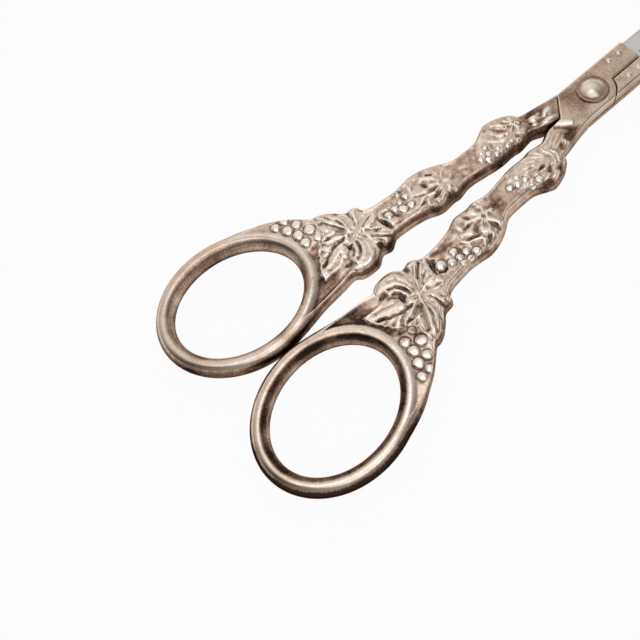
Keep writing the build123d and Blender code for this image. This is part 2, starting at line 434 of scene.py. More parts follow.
@dataclass
class VineRelief:
    """Height of the upper face over the plane between the halves, with leaves and grapes, and its tarnish,
    partly painted shade and highlight.
    """

    features: list[Feature]
    bow: "FingerBow"
    stains_and_shading: list[Feature]
    web_tarnish: float
    web_lines: float
    mottling: float = 0.1
    face: float = 2.4
    rim_inset: float = 0.9
    rim_width: float = 0.6
    ring_fillet: float = 0.8
    fillet_reach: Pair = (0.8, 2.2)
    ring_gap: float = 0.03
    ceiling: float = 2.895
    ceiling_room: float = 0.15
    floor: float = 1.3
    web_depth: float = 0.02
    web_from_y: Pair = (-71.0, -74.0)
    web_from_x: Pair = (13.5, 16.5)
    field_depths: Table = (
        (-8.0, 0.0), (-12.0, 0.08), (-18.0, 0.12), (-31.5, 0.15), (-34.0, 0.26), (-38.4, 0.32), (-40.8, 0.12),
        (-50.0, 0.15), (-53.0, 0.28), (-59.3, 0.34), (-62.0, 0.3), (-75.0, 0.42), (-96.0, 0.5),
    )
    crowns: Table = (
        (-12.0, 0.0), (-18.0, 0.14), (-31.0, 0.16), (-35.0, 0.14), (-39.0, 0.14), (-42.0, 0.16),
        (-51.0, 0.16), (-56.0, 0.2), (-60.0, 0.2), (-64.0, 0.26), (-74.0, 0.26), (-79.0, 0.06), (-96.0, 0.0),
    )
    crown_reach: float = 4.0
    held: Pair = (0.15, 0.85)
    roughness: Table = (
        (-12.5, 0.0), (-18.0, 1.0), (-31.0, 1.0), (-35.0, 0.45), (-39.0, 0.45), (-42.0, 1.0), (-55.0, 1.0),
        (-60.0, 0.6), (-64.0, 0.8), (-75.0, 0.8), (-80.0, 0.35), (-96.0, 0.25),
    )
    wander_x: Mottle = Mottle(0.14, 1.3, 1)
    wander_y: Mottle = Mottle(0.14, 1.3, 2)
    unevenness: tuple[Mottle, ...] = (Mottle(0.06, 2.0, 3), Mottle(0.05, 1.05, 4), Mottle(0.024, 0.5, 5))
    lines: Mottle = Mottle(1.0, 1.0, 0, 2.2, 0.3)
    lines_from_y: Pair = (-75.0, -79.0)
    lines_from_x: Pair = (15.0, 12.0)
    plain_tarnish: Table = (
        (-8.0, 0.52), (-13.0, 0.44), (-20.0, 0.41), (-32.0, 0.42), (-36.0, 0.5), (-41.0, 0.42), (-50.0, 0.42),
        (-56.0, 0.43), (-62.0, 0.37), (-74.0, 0.37), (-80.0, 0.4), (-96.0, 0.4),
    )
    furrow_tarnish: Table = ((-8.0, 0.2), (-20.0, 0.3), (-60.0, 0.34), (-64.0, 0.44), (-96.0, 0.44))
    blur_window: int = 5
    furrow_gain: float = 2.6
    wear_limit: float = -0.34
    depth_gain: float = 0.35
    depth_limit: float = 0.5
    sunk_depths: Pair = (0.1, 0.4)
    sunk_from_y: Pair = (-71.0, -77.0)
    usual_tarnish: float = 0.4
    spots: tuple[Mottle, ...] = (Mottle(1.0, 1.3, 6, 1.0, 0.6), Mottle(0.8, 0.6, 7, 0.7, 1.0))
    crest_reach: Pair = (1.4, 0.5)
    crest_wear_and_highlight: float = 0.2

    def base(self, x: np.ndarray, y: np.ndarray, nearest: np.ndarray) -> np.ndarray:
        """Plain casting: a field sunk by a depth read off a table of y, between rims that follow the edges.

        Against the bow it joins the ring's own round top, with a fillet where the two come to one height.

        Args:
            x: x of the points.
            y: y of the points.
            nearest: distance of each point from the nearer edge.

        Returns:
            The level of each point.
        """
        fall = np.exp(-(((nearest - self.rim_inset) / self.rim_width) ** 2))
        rims = np.where(nearest < self.rim_inset, 1.0, fall)
        flat_web = smooth_step(*self.web_from_y, y) * smooth_step(*self.web_from_x, x)
        depth = by_y(self.field_depths, y)
        level = self.face - (depth + (self.web_depth - depth) * flat_web) * (1.0 - rims)
        ring = self.bow.top(self.bow.distance(x, y)) - self.ring_gap
        fillet = self.ring_fillet * smooth_step(*self.fillet_reach, nearest) + TINY
        meeting = np.clip(1.0 - np.abs(level - ring) / fillet, 0.0, None)
        return np.maximum(level, ring) + meeting**2 * fillet / 4

    def height(self, x: np.ndarray, y: np.ndarray, nearest: np.ndarray) -> np.ndarray:
        """Casting and ornament together: each feature in turn, drawn a little unevenly by smooth noise.

        Args:
            x: x of the points.
            y: y of the points.
            nearest: distance of each point from the nearer edge.

        Returns:
            The level of each point.
        """
        plain = self.base(x, y, nearest)
        drawn_x, drawn_y = x + self.wander_x.at(x, y), y + self.wander_y.at(x, y)
        level = plain
        for feature in self.features:
            level = feature.apply(level, drawn_x, drawn_y)
        level = level + by_y(self.roughness, y) * mottled(self.unevenness, x, y)
        lines = self.web_lines * smooth_step(*self.lines_from_y, y) * smooth_step(*self.lines_from_x, x)
        level = level + lines * self.lines.at(x, y)
        inward = np.clip(nearest / self.crown_reach, 0.0, 1.0)
        level = level + by_y(self.crowns, y) * (1.0 - (1.0 - inward) ** 2)
        level = plain + (level - plain) * smooth_step(*self.held, nearest)
        return np.clip(self.below_ceiling(level), self.floor, self.ceiling)

    def below_ceiling(self, level: np.ndarray) -> np.ndarray:
        """Level bent over near the ceiling: there the room left falls off by an exponential.

        Args:
            level: the level of each point.

        Returns:
            The level, which never reaches the ceiling.
        """
        room, limit = self.ceiling - level, self.ceiling_room
        bent = self.ceiling - limit * np.exp(np.minimum(room, limit) / limit - 1.0)
        return np.where(room < limit, bent, level)

    def shaded_tarnish(self, top: np.ndarray, x: np.ndarray, y: np.ndarray) -> np.ndarray:
        """Tarnish of the upper face: a share by y, more below the mean of the surroundings and on the web,
        paler on grape tops and by the ring's crest, partly as a painted highlight.

        Args:
            top: level of each grid point.
            x: x of the points.
            y: y of the points.

        Returns:
            The share of darkness at each point, 0 for bare metal and 1 for the darkest.
        """
        mean = box_blur(box_blur(top, self.blur_window), self.blur_window)
        sunk_share = np.minimum(self.furrow_gain * (mean - top), by_y(self.furrow_tarnish, y))
        tarnish_and_shading = by_y(self.plain_tarnish, y) + np.maximum(sunk_share, self.wear_limit)
        tarnish_and_shading = tarnish_and_shading + self.depth_gain * np.clip(self.face - top, 0.0, self.depth_limit)
        sunk = smooth_step(*self.sunk_depths, self.face - mean) * smooth_step(*self.sunk_from_y, y)
        tarnish_and_shading = tarnish_and_shading + (self.web_tarnish - self.usual_tarnish) * sunk
        tarnish_and_shading = tarnish_and_shading + self.mottling * by_y(self.roughness, y) * mottled(self.spots, x, y)
        # By the ring's crest the face takes the crest's paleness: wear, with a painted highlight.
        crest = smooth_step(*self.crest_reach, self.bow.distance(x, y))
        # Grape tops paler: wear, with a painted highlight.
        for feature in self.features:
            if isinstance(feature, Grape):
                tarnish_and_shading = feature.pale_top(tarnish_and_shading, x, y)
        return tarnish_and_shading + (self.crest_wear_and_highlight - tarnish_and_shading) * crest


def strokes(*rows: tuple[Path | float, ...]) -> list[Feature]:
    """Ridges and grooves, from their path, rise and, where they differ from the usual, width and fade."""
    return [Stroke(*row) for row in rows]


def bumps(*rows: tuple[float, ...]) -> list[Feature]:
    """Swellings, hollows, stains or painted shading, from their x, y, length each way, turn in degrees and
    rise.
    """
    return [Bump(*row) for row in rows]


def grapes(*rows: tuple[float, ...]) -> list[Feature]:
    """Large grapes, from their x, y, radius and, where it differs from the usual, fullness."""
    return [Grape(*row) for row in rows]


def small_grapes(*rows: tuple[float, float, float]) -> list[Feature]:
    """Grapes of the arm's bunches, worn pale on top with a painted highlight, from their x, y and radius."""
    return [
        Grape(x, y, radius, fullness=0.22, groove=0.11, groove_width=0.17, paled=-0.12)
        for x, y, radius in rows
    ]


def bow_end_features(half: Half) -> list[Feature]:
    """Big leaf and large grapes at the bow's shoulder.

    Args:
        half: the half that the ornament is for.

    Returns:
        The features, in the order in which they are laid on.
    """
    lobes = [
        Pad((
            (11.8, -66.2), (12.8, -64.6), (14.6, -63.8), (16.6, -63.5), (18.2, -64.2), (18.6, -65.6),
            (17.2, -66.5), (14.8, -66.2), (12.6, -66.8),
        ), 2.1, 0.35, 0.42, 1.3),
        Pad((
            (10.2, -66.0), (8.6, -64.4), (7.0, -62.4), (6.4, -61.0), (8.0, -60.8), (9.6, -61.3),
            (11.0, -60.4), (12.6, -60.2), (13.4, -61.4), (13.2, -63.0), (12.2, -64.8), (11.4, -66.0),
        ), 2.1, 0.35, 0.42, 1.3),
        Pad((
            (10.4, -66.4), (8.6, -64.8), (7.6, -62.8), (6.2, -61.4), (4.9, -61.0), (3.6, -62.4), (3.2, -64.2),
            (4.2, -65.9), (6.2, -65.6), (8.4, -66.2),
        ), 2.1, 0.35, 0.45, 1.3),
        Pad((
            (12.0, -67.4), (14.6, -66.9), (17.6, -67.0), (19.6, -67.8), (21.4, -69.2), (22.4, -71.0),
            (22.8, -72.4), (21.2, -72.2), (20.4, -72.8), (18.8, -73.0), (17.2, -73.1), (16.2, -72.4),
            (15.6, -71.4), (14.4, -69.8), (12.8, -68.4),
        ), 2.1, 0.35, 0.5, 1.4),
        Pad((
            (11.2, -69.0), (9.2, -70.9), (7.6, -72.6), (7.2, -75.0), (7.0, -78.0), (6.8, -80.6), (8.6, -80.5),
            (9.4, -79.7), (10.3, -79.5), (11.0, -78.5), (11.9, -78.3), (12.3, -77.4), (12.9, -77.9),
            (13.5, -77.2), (14.2, -76.9), (14.8, -75.6), (14.9, -74.0), (14.6, -72.0), (13.6, -70.0),
            (12.2, -68.6),
        ), 2.15, 0.3, 0.55, 1.6),
        Pad((
            (10.6, -67.6), (8.0, -66.8), (6.0, -66.4), (4.2, -66.8), (2.6, -68.4), (2.1, -70.2), (2.3, -71.8),
            (3.2, -73.2), (4.4, -74.4), (5.0, -73.2), (5.6, -72.9), (6.6, -72.6), (7.4, -71.6), (8.6, -70.8),
            (10.0, -69.6),
        ), 2.1, 0.35, 0.5, 1.5),
    ]
    creases = strokes(
        (((12.2, -69.6), (11.9, -73.0), (10.9, -76.0), (9.2, -79.2)), -0.5, 0.34, 0.1),
        (((9.4, -72.6), (8.4, -75.6), (8.0, -78.8)), -0.22, 0.4),
        (((10.9, -73.0), (10.2, -75.4), (9.2, -77.4)), -0.14, 0.3),
        (((12.4, -72.2), (13.4, -74.4), (14.4, -75.8)), -0.24, 0.36),
        (((11.8, -74.4), (12.6, -76.0), (13.2, -77.2)), -0.24, 0.34),
        (((11.0, -76.8), (11.4, -77.8), (11.6, -78.2)), -0.19, 0.22),
        (((10.2, -68.2), (7.6, -68.9), (5.8, -70.2), (5.2, -72.2)), -0.41, 0.36, 0.12),
        (((10.6, -67.2), (7.0, -67.6), (4.4, -69.0), (3.4, -71.6)), -0.19, 0.4),
        (((9.8, -69.9), (7.8, -70.5), (6.6, -71.8)), -0.29, 0.3), (((4.6, -61.4), (8.4, -65.4)), -0.38, 0.32),
        (((4.2, -63.6), (7.6, -65.5)), -0.19, 0.26),
        (((10.3, -65.4), (8.4, -63.4), (7.6, -61.8)), -0.26, 0.26),
        (((11.4, -65.2), (12.2, -63.0), (12.6, -61.2)), -0.24, 0.26),
        (((9.8, -63.8), (9.4, -62.0)), -0.14, 0.22),
        (((12.2, -66.2), (14.6, -65.4), (17.8, -65.2)), -0.24, 0.26),
        (((12.8, -67.6), (16.6, -68.3), (21.8, -71.0)), -0.24, 0.26),
        (((12.8, -68.4), (16.0, -70.2), (20.0, -72.2)), -0.31, 0.42),
    )
    veins = strokes(
        (((11.0, -66.8), (10.7, -64.6), (10.6, -61.6)), 0.22, 0.26, 0.1),
        (((11.6, -68.0), (13.0, -70.4), (14.0, -73.0), (14.9, -75.4)), 0.16, 0.24, 0.1),
        (((15.1, -69.8), (15.5, -72.4), (15.2, -75.0)), 0.3, 0.3), (((11.4, -67.3), (13.2, -68.6)), 0.2, 0.3),
        (((11.2, -67.2), (9.0, -67.0), (6.0, -67.2)), 0.15, 0.26),
        (((7.2, -73.4), (7.1, -77.0), (7.2, -80.2)), 0.16, 0.22),
        (((7.4, -80.2), (9.4, -79.4), (11.6, -78.0), (14.4, -76.2)), 0.14, 0.22, 0.05),
        (((16.4, -72.6), (18.8, -72.8), (22.0, -72.2)), 0.18, 0.22, 0.05),
    )
    swellings = bumps(
        (10.0, -70.9, 1.3, 0.55, -5, -0.42), (7.6, -69.0, 1.3, 0.5, 12, -0.25),
        (11.3, -67.3, 0.8, 0.8, 0, 0.2), (13.2, -66.8, 0.55, 0.45, 0, 0.2),
        (8.2, -60.4, 1.6, 0.45, -14, -0.5), (6.0, -74.0, 0.5, 0.9, 0, -0.3),
        (16.6, -64.9, 0.9, 0.35, 10, -0.2), (15.6, -76.4, 0.5, 1.2, -20, -0.22),
        (7.7, -62.4, 0.5, 0.6, 0, 0.12), (4.8, -65.2, 0.7, 0.5, 0, -0.3),
    )
    if half is Half.LEFT:
        swellings += bumps(
            (3.4, -69.6, 0.9, 2.0, -14, 0.3), (5.4, -71.9, 0.7, 0.5, 30, 0.25),
            (13.2, -68.4, 0.9, 1.1, 0, 0.25), (4.6, -64.8, 1.0, 0.5, -20, -0.4),
            (15.2, -64.0, 0.9, 0.8, 0, 0.2),
        )
    fruit = grapes(
        (16.8, -74.5, 1.0, 0.24), (19.9, -74.6, 1.5), (17.9, -77.6, 1.4), (20.7, -77.6, 1.4),
        (23.3, -76.0, 1.3), (23.6, -78.6, 1.4), (26.2, -77.7, 1.1, 0.24), (26.4, -80.2, 1.2, 0.24),
    )
    return [*lobes, Veining(11.3, -67.3, 14.0), *creases, *veins, *swellings, *fruit]


def middle_knot_features(half: Half) -> list[Feature]:
    """Leaf and grapes half-way along the arm, a little different on each half.

    Args:
        half: the half that the ornament is for.

    Returns:
        The features, in the order in which they are laid on.
    """
    leaf = Pad((
        (5.0, -40.1), (3.2, -42.0), (2.4, -44.0), (2.8, -46.0), (2.4, -48.0), (3.8, -50.8), (5.6, -52.0),
        (8.2, -52.2), (10.6, -50.0), (11.6, -48.0), (13.8, -48.8), (14.0, -46.6), (12.8, -43.4),
        (11.0, -40.6), (8.0, -39.9),
    ), 2.3, 0.8, 0.1)
    if half is Half.LEFT:
        return [
            leaf,
            Veining(6.9, -43.7, 8.5, 0.04),
            *strokes(
                (((6.9, -43.7), (9.8, -44.6), (11.8, -47.2)), 0.24, 0.34),
                (((10.0, -43.8), (11.3, -45.0)), -0.3, 0.24),
                (((6.9, -43.9), (8.3, -45.8), (10.2, -48.6)), 0.16, 0.24),
                (((6.4, -44.4), (6.2, -46.4), (6.6, -48.2)), 0.15, 0.22),
                (((6.6, -45.6), (7.4, -48.4), (8.8, -51.3)), -0.24, 0.24),
                (((7.0, -43.2), (6.4, -41.4), (6.8, -40.0)), 0.15, 0.24),
                (((3.5, -48.2), (3.2, -46.4), (4.2, -44.4)), 0.4, 0.5),
                (((8.0, -42.4), (9.6, -41.2)), 0.15, 0.24),
            ),
            *bumps(
                (9.4, -43.0, 1.0, 0.7, 0, 0.26), (4.9, -42.9, 0.5, 0.5, 0, 0.28),
                (9.2, -47.1, 0.9, 0.5, -40, -0.3), (7.2, -46.1, 0.9, 0.35, -70, -0.28),
                (6.6, -49.7, 0.45, 1.1, -15, 0.36), (4.9, -49.3, 0.8, 0.5, 20, 0.26),
                (5.2, -46.3, 0.35, 1.0, -12, -0.42), (5.7, -50.6, 0.25, 0.8, 0, -0.2),
                (8.0, -57.0, 1.2, 0.4, -35, -0.15),
            ),
            *small_grapes(
                (7.7, -52.7, 1.0), (8.1, -54.8, 1.25), (9.6, -56.3, 1.0), (10.4, -52.1, 0.85),
                (10.0, -54.1, 0.72), (11.2, -50.2, 0.65), (11.9, -53.2, 0.6),
            ),
            Grape(9.3, -58.4, 1.1, 0.24),
            Stroke(((10.9, -57.2), (11.4, -60.0)), 0.2, 0.25),
            Bump(7.5, -60.2, 1.4, 0.4, -8, -0.21),
        ]
    return [
        leaf,
        Veining(6.9, -42.9, 8.5, 0.04),
        *strokes(
            (((6.9, -42.9), (6.7, -41.4), (7.0, -39.9)), 0.28, 0.36),
            (((6.7, -42.9), (5.0, -44.0), (3.2, -44.9)), 0.26, 0.4),
            (((7.2, -42.9), (8.8, -42.3), (11.6, -41.4)), 0.34, 0.4),
            (((6.8, -43.2), (6.0, -45.4), (5.1, -47.8)), 0.24, 0.34),
            (((7.2, -43.3), (8.2, -45.2)), 0.18, 0.24),
            (((7.4, -43.2), (9.4, -43.8), (11.6, -44.4)), 0.16, 0.26),
            (((6.6, -42.4), (4.8, -41.8), (3.4, -42.4)), 0.16, 0.26),
            (((8.4, -45.2), (9.8, -45.9), (10.6, -44.2)), 0.34, 0.38, 0.1),
            (((8.0, -51.8), (9.8, -50.1), (10.4, -47.9), (10.8, -46.6)), 0.36, 0.26, 0.08),
            (((7.2, -50.9), (7.6, -49.0), (8.6, -47.5)), 0.28, 0.32),
            (((11.3, -46.7), (12.7, -48.4)), 0.36, 0.4),
        ),
        *bumps(
            (5.2, -49.4, 0.8, 0.5, 30, 0.26), (11.9, -44.6, 0.6, 0.4, 30, 0.24),
            (13.6, -46.9, 0.45, 0.9, 10, 0.3), (8.2, -46.4, 1.2, 0.6, -40, -0.24),
            (9.4, -48.3, 0.35, 1.3, -20, -0.34), (4.5, -46.2, 0.8, 0.4, 30, -0.26),
            (6.4, -47.4, 0.35, 1.1, 5, -0.26), (12.2, -46.0, 0.9, 0.4, -40, -0.28),
            (13.7, -50.2, 0.4, 1.2, 0, -0.4), (10.9, -42.9, 0.9, 0.35, 0, -0.26),
            (9.5, -53.1, 0.45, 0.5, 0, -0.2), (6.6, -54.4, 0.6, 1.8, 0, -0.18),
        ),
        *small_grapes(
            (12.2, -50.4, 1.05), (10.7, -52.1, 1.0), (12.6, -52.5, 0.8), (10.8, -54.2, 0.98),
            (12.4, -54.6, 0.75), (8.7, -54.3, 1.05), (10.5, -56.4, 1.1),
        ),
        Grape(9.2, -58.8, 1.4, 0.24),
        *strokes(
            (((10.5, -57.8), (10.9, -59.2), (10.1, -60.3)), -0.4, 0.3),
            (((6.6, -59.0), (8.2, -60.2)), -0.35, 0.35),
        ),
    ]


def upper_knot_features(half: Half) -> list[Feature]:
    """Leaf and grapes nearest the lap, and the mouldings where the plain lap ends.

    Args:
        half: the half that the ornament is for.

    Returns:
        The features, in the order in which they are laid on.
    """
    leaf = Pad((
        (5.0, -18.4), (2.2, -19.2), (1.5, -22.4), (1.8, -25.0), (2.2, -29.0), (3.6, -32.4), (5.4, -32.8),
        (7.4, -30.8), (9.8, -29.8), (11.6, -25.6), (11.6, -23.6), (10.6, -20.8), (8.8, -18.8),
    ), 2.3, 0.8, 0.1)
    if half is Half.LEFT:
        ray_ends = (
            (9.2, -19.6), (9.4, -21.4), (7.6, -22.4), (5.4, -21.8), (4.4, -20.0), (5.8, -18.6),
        )
        rays = [Stroke(((7.0, -19.9), end), 0.24, 0.22, 0.2) for end in ray_ends]
        return [
            leaf,
            Veining(7.1, -19.8, 9.0, 0.04),
            *rays,
            Bump(7.7, -23.8, 1.5, 0.42, -39, -0.26),
            *strokes(
                (((6.8, -21.6), (8.8, -22.5), (10.3, -24.8)), 0.16, 0.22),
                (((5.2, -22.4), (6.2, -24.6), (8.8, -26.2)), 0.18, 0.22),
                (((4.4, -23.6), (5.4, -26.2), (7.8, -28.0)), 0.14, 0.22),
            ),
            *bumps(
                (3.6, -21.4, 0.5, 0.8, 0, -0.2), (10.3, -26.3, 0.5, 0.6, 0, -0.18),
                (5.6, -28.2, 0.7, 0.35, 20, -0.16),
            ),
            *small_grapes(
                (2.4, -22.3, 0.8), (3.5, -23.5, 0.5), (3.1, -25.2, 0.65), (3.3, -28.6, 0.75),
                (4.3, -27.5, 0.55), (4.7, -30.1, 0.8), (3.5, -31.2, 0.8), (4.8, -32.6, 0.85),
                (6.6, -29.5, 0.6), (6.2, -31.3, 0.55),
            ),
            *bumps(
                (3.4, -12.1, 0.6, 1.2, -20, 0.26), (1.4, -13.5, 0.55, 1.5, 5, 0.28),
                (4.2, -15.6, 0.6, 0.9, 25, 0.26), (2.9, -16.5, 0.4, 0.6, 20, 0.26),
                (4.5, -13.9, 0.4, 0.6, 20, 0.22), (3.8, -17.2, 0.35, 0.35, 0, -0.15),
                (5.8, -15.6, 0.5, 1.4, 0, -0.12),
            ),
            Stroke(((2.5, -11.8), (2.7, -14.6), (3.4, -17.4)), -0.16, 0.22),
            *bumps((6.6, -36.6, 0.5, 1.0, 20, 0.13), (4.6, -37.4, 0.5, 0.8, 0, 0.09)),
        ]
    rib_paths = (
        ((5.6, -21.2), (2.2, -22.8)), ((5.8, -21.6), (2.2, -24.8)), ((6.0, -21.9), (2.8, -27.0)),
        ((6.3, -22.1), (4.0, -28.6)), ((6.7, -22.3), (5.4, -28.6)), ((5.4, -20.6), (2.4, -20.8)),
    )
    ribs = [Stroke(path, 0.13, 0.2, 0.25) for path in rib_paths]
    return [
        leaf,
        Veining(6.4, -20.6, 9.0, 0.04),
        *ribs,
        *strokes(
            (((4.6, -19.5), (6.4, -19.2), (8.8, -20.0)), 0.24, 0.22),
            (((4.6, -20.4), (6.3, -20.2), (8.6, -21.1)), 0.24, 0.22),
        ),
        *bumps(
            (10.8, -23.3, 0.42, 1.0, 22, 0.32), (11.0, -26.3, 0.6, 1.1, 0, -0.42),
            (8.7, -23.2, 0.45, 1.2, 30, -0.36), (7.2, -24.6, 0.35, 1.1, 15, -0.24),
            (10.0, -21.4, 0.5, 0.8, 0, -0.14), (9.7, -24.8, 0.4, 1.0, 25, 0.22),
            (4.6, -32.6, 0.5, 0.8, 0, -0.14),
        ),
        Stroke(((7.9, -23.4), (7.6, -25.4), (7.6, -27.4)), 0.18, 0.24),
        *small_grapes(
            (9.0, -27.0, 1.02), (9.0, -29.3, 0.72), (8.0, -28.4, 0.5), (6.6, -29.3, 0.75), (4.7, -30.3, 0.7),
            (6.3, -31.5, 1.05), (5.6, -33.4, 0.85), (7.9, -30.5, 0.45),
        ),
        *strokes(
            (((0.2, -12.4), (3.6, -8.8)), 0.05, 0.16), (((0.4, -13.1), (3.9, -9.4)), 0.06, 0.16),
            (((0.2, -13.3), (3.5, -9.9)), 0.17, 0.6, 0.12), (((1.0, -14.3), (4.1, -11.1)), -0.16, 0.45, 0.1),
            (((2.0, -14.8), (3.0, -16.8), (4.3, -19.0)), 0.07, 0.25),
            (((3.0, -14.2), (4.0, -16.4), (5.3, -18.8)), 0.09, 0.3),
            (((4.0, -13.9), (5.0, -16.2), (6.0, -18.6)), 0.08, 0.25),
            (((1.4, -15.4), (2.2, -17.2), (3.2, -19.2)), 0.06, 0.22),
        ),
        Pad((
            (5.0, -9.5), (5.6, -10.8), (6.3, -12.6), (6.4, -14.0), (5.3, -14.6), (4.3, -13.6), (4.2, -11.6),
        ), 2.12, 0.9),
        *bumps((6.2, -16.6, 0.5, 0.9, 15, -0.2), (5.6, -15.1, 0.5, 0.4, 0, 0.27)),
    ]


def stains_and_shading_of(half: Half) -> list[Feature]:
    """Where the darkness is heavier, or lighter where the rise is below zero, than the relief alone gives:
    stains, and painted shade and highlights.

    Args:
        half: the half that the marks are on.

    Returns:
        The marks, in the order in which they are laid on.
    """
    if half is Half.LEFT:
        # Among them painted shade on the near wall by the upper knot, and painted highlights on the pale
        # grains by the lap.
        return bumps(
            (1.2, -20.5, 1.3, 6.0, 0, 0.22), (9.2, -47.0, 1.3, 0.8, -30, 0.14),
            (3.5, -14.0, 3.4, 4.0, 0, 0.25), (3.4, -12.1, 0.75, 1.3, -20, -0.7),
            (1.4, -13.5, 0.65, 1.6, 5, -0.75), (4.2, -15.6, 0.7, 1.0, 25, -0.7),
            (2.9, -16.5, 0.5, 0.7, 20, -0.6), (6.2, -14.5, 1.3, 3.0, 10, 0.22),
            (3.0, -18.0, 1.6, 1.8, 0, 0.18), (7.5, -22.5, 2.0, 1.5, 0, 0.16), (3.2, -44.0, 1.2, 3.0, 0, 0.15),
            (9.5, -62.5, 2.5, 1.2, 0, 0.16), (3.6, -62.6, 1.4, 1.6, 0, 0.3),
            (11.0, -70.0, 10.0, 9.0, 0, -0.08),
        )
    # Among them painted shade on the sides of the big grapes at the bow's shoulder.
    return bumps(
        (4.6, -13.2, 1.5, 2.8, 20, 0.24), (1.8, -11.6, 2.1, 0.6, 46, -0.42), (5.2, -12.0, 0.8, 1.1, 20, 0.2),
        (6.9, -38.6, 1.7, 1.6, 0, 0.22), (6.4, -56.4, 1.3, 3.4, 0, 0.2), (11.0, -26.6, 0.8, 1.3, 0, 0.28),
        (9.6, -23.8, 0.9, 1.8, 30, 0.12), (8.2, -46.4, 1.4, 0.9, -40, 0.16), (-1.5, -4.5, 3.2, 3.0, 0, 0.12),
        (3.6, -2.5, 1.6, 4.0, 0, -0.14), (0.5, -9.8, 2.6, 0.9, -45, -0.12), (9.2, -71.6, 1.4, 0.9, 0, 0.25),
        (4.4, -77.0, 1.8, 3.0, 0, -0.16), (11.0, -68.0, 8.0, 8.0, 0, 0.04), (17.0, -74.3, 0.9, 0.9, 0, 0.6),
        (19.0, -74.4, 0.8, 1.1, 0, 0.55), (17.0, -77.3, 0.7, 1.1, 0, 0.5), (20.2, -77.2, 1.0, 1.0, 0, 0.22),
        (22.8, -75.8, 1.0, 1.0, 0, 0.22),
    )


@dataclass
class Surface:
    """A sheet of points on a grid, with the share of tarnish and painted shading at each."""

    points: np.ndarray
    tarnish_and_shading: np.ndarray


@dataclass
class Shell:
    """A closed shell built of grid sheets, welded and put into the shared frame."""

    name: str
    half: Half
    slot: Slot
    sheets: list[Surface] = field(default_factory=list)
    sharp_angle: float = math.radians(75.0)
    weld_digits: int = 3
    body: str = ""

    def add(self, points: np.ndarray, tarnish_and_shading: np.ndarray | float) -> None:
        """Add a sheet of grid points, with one share of tarnish and painted shading or one to each point."""
        self.sheets.append(Surface(points, np.broadcast_to(tarnish_and_shading, points.shape[:2])))

    def triangles(self) -> tuple[np.ndarray, np.ndarray, np.ndarray]:
        """All sheets as one welded set: points equal to a micrometre merge, and empty triangles go.

        Returns:
            The points, the triangles' point numbers, and the tarnish and painted shading of each point.
        """
        points, sheet_shadings, faces, start = [], [], [], 0
        for sheet in self.sheets:
            rows, columns = sheet.points.shape[:2]
            index = start + np.arange(rows * columns).reshape(rows, columns)
            a, b, c, d = index[:-1, :-1], index[:-1, 1:], index[1:, 1:], index[1:, :-1]
            faces.append(np.stack([a, b, c], -1).reshape(-1, 3))
            faces.append(np.stack([a, c, d], -1).reshape(-1, 3))
            points.append(sheet.points.reshape(-1, 3))
            sheet_shadings.append(np.ravel(sheet.tarnish_and_shading))
            start += rows * columns
        joined = np.vstack(points)
        keys = np.round(joined, self.weld_digits)
        _, first, number = np.unique(keys, axis=0, return_index=True, return_inverse=True)
        corners = number.reshape(-1)[np.vstack(faces)]
        real = np.all(corners != np.roll(corners, 1, axis=1), axis=1)
        return joined[first], corners[real], np.concatenate(sheet_shadings)[first]

    def build(self, material: bpy.types.Material, *nodes: str) -> bpy.types.Object:
        """Mesh, finish and body of the shell.

        Args:
            material: the finish.
            nodes: the frame's nodes that the shell stands for.

        Returns:
            The new object.
        """
        points, corners, tarnish_and_shading = self.triangles()
        sign = self.half.value
        placed = points * np.array([sign, 1.0, sign]) + np.array(PIVOT)
        mesh = bpy.data.meshes.new(self.name)
        mesh.vertices.add(len(placed))
        mesh.vertices.foreach_set("co", (placed * MILLIMETRE).astype(np.float32).ravel())
        mesh.loops.add(corners.size)
        mesh.loops.foreach_set("vertex_index", corners.astype(np.int32).ravel())
        mesh.polygons.add(len(corners))
        mesh.polygons.foreach_set("loop_start", np.arange(0, corners.size, 3, dtype=np.int32))
        mesh.update(calc_edges=True)
        mesh.validate()
        # Per-point darkness: tarnish, with painted shade and painted highlights in places.
        layer = mesh.attributes.new("tarnish_and_shading", "FLOAT", "POINT")
        layer.data.foreach_set("value", tarnish_and_shading.astype(np.float32))
        mesh.shade_smooth()
        mesh.set_sharp_from_angle(angle=self.sharp_angle)
        piece = bpy.data.objects.new(self.name, mesh)
        bpy.context.scene.collection.objects.link(piece)
        mesh.materials.append(material)
        self.face_outwards(mesh)
        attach(piece, self.body or self.half.body)
        if nodes:
            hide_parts(*nodes)
        log.info("%s: %d triangles", self.name, len(corners))
        return piece

    @staticmethod
    def face_outwards(mesh: bpy.types.Mesh) -> None:
        """Turn every face of a closed mesh outwards.

        Args:
            mesh: the mesh, which is changed in place.
        """
        work = bmesh.new()
        work.from_mesh(mesh)
        bmesh.ops.recalc_face_normals(work, faces=work.faces)
        work.to_mesh(mesh)
        work.free()


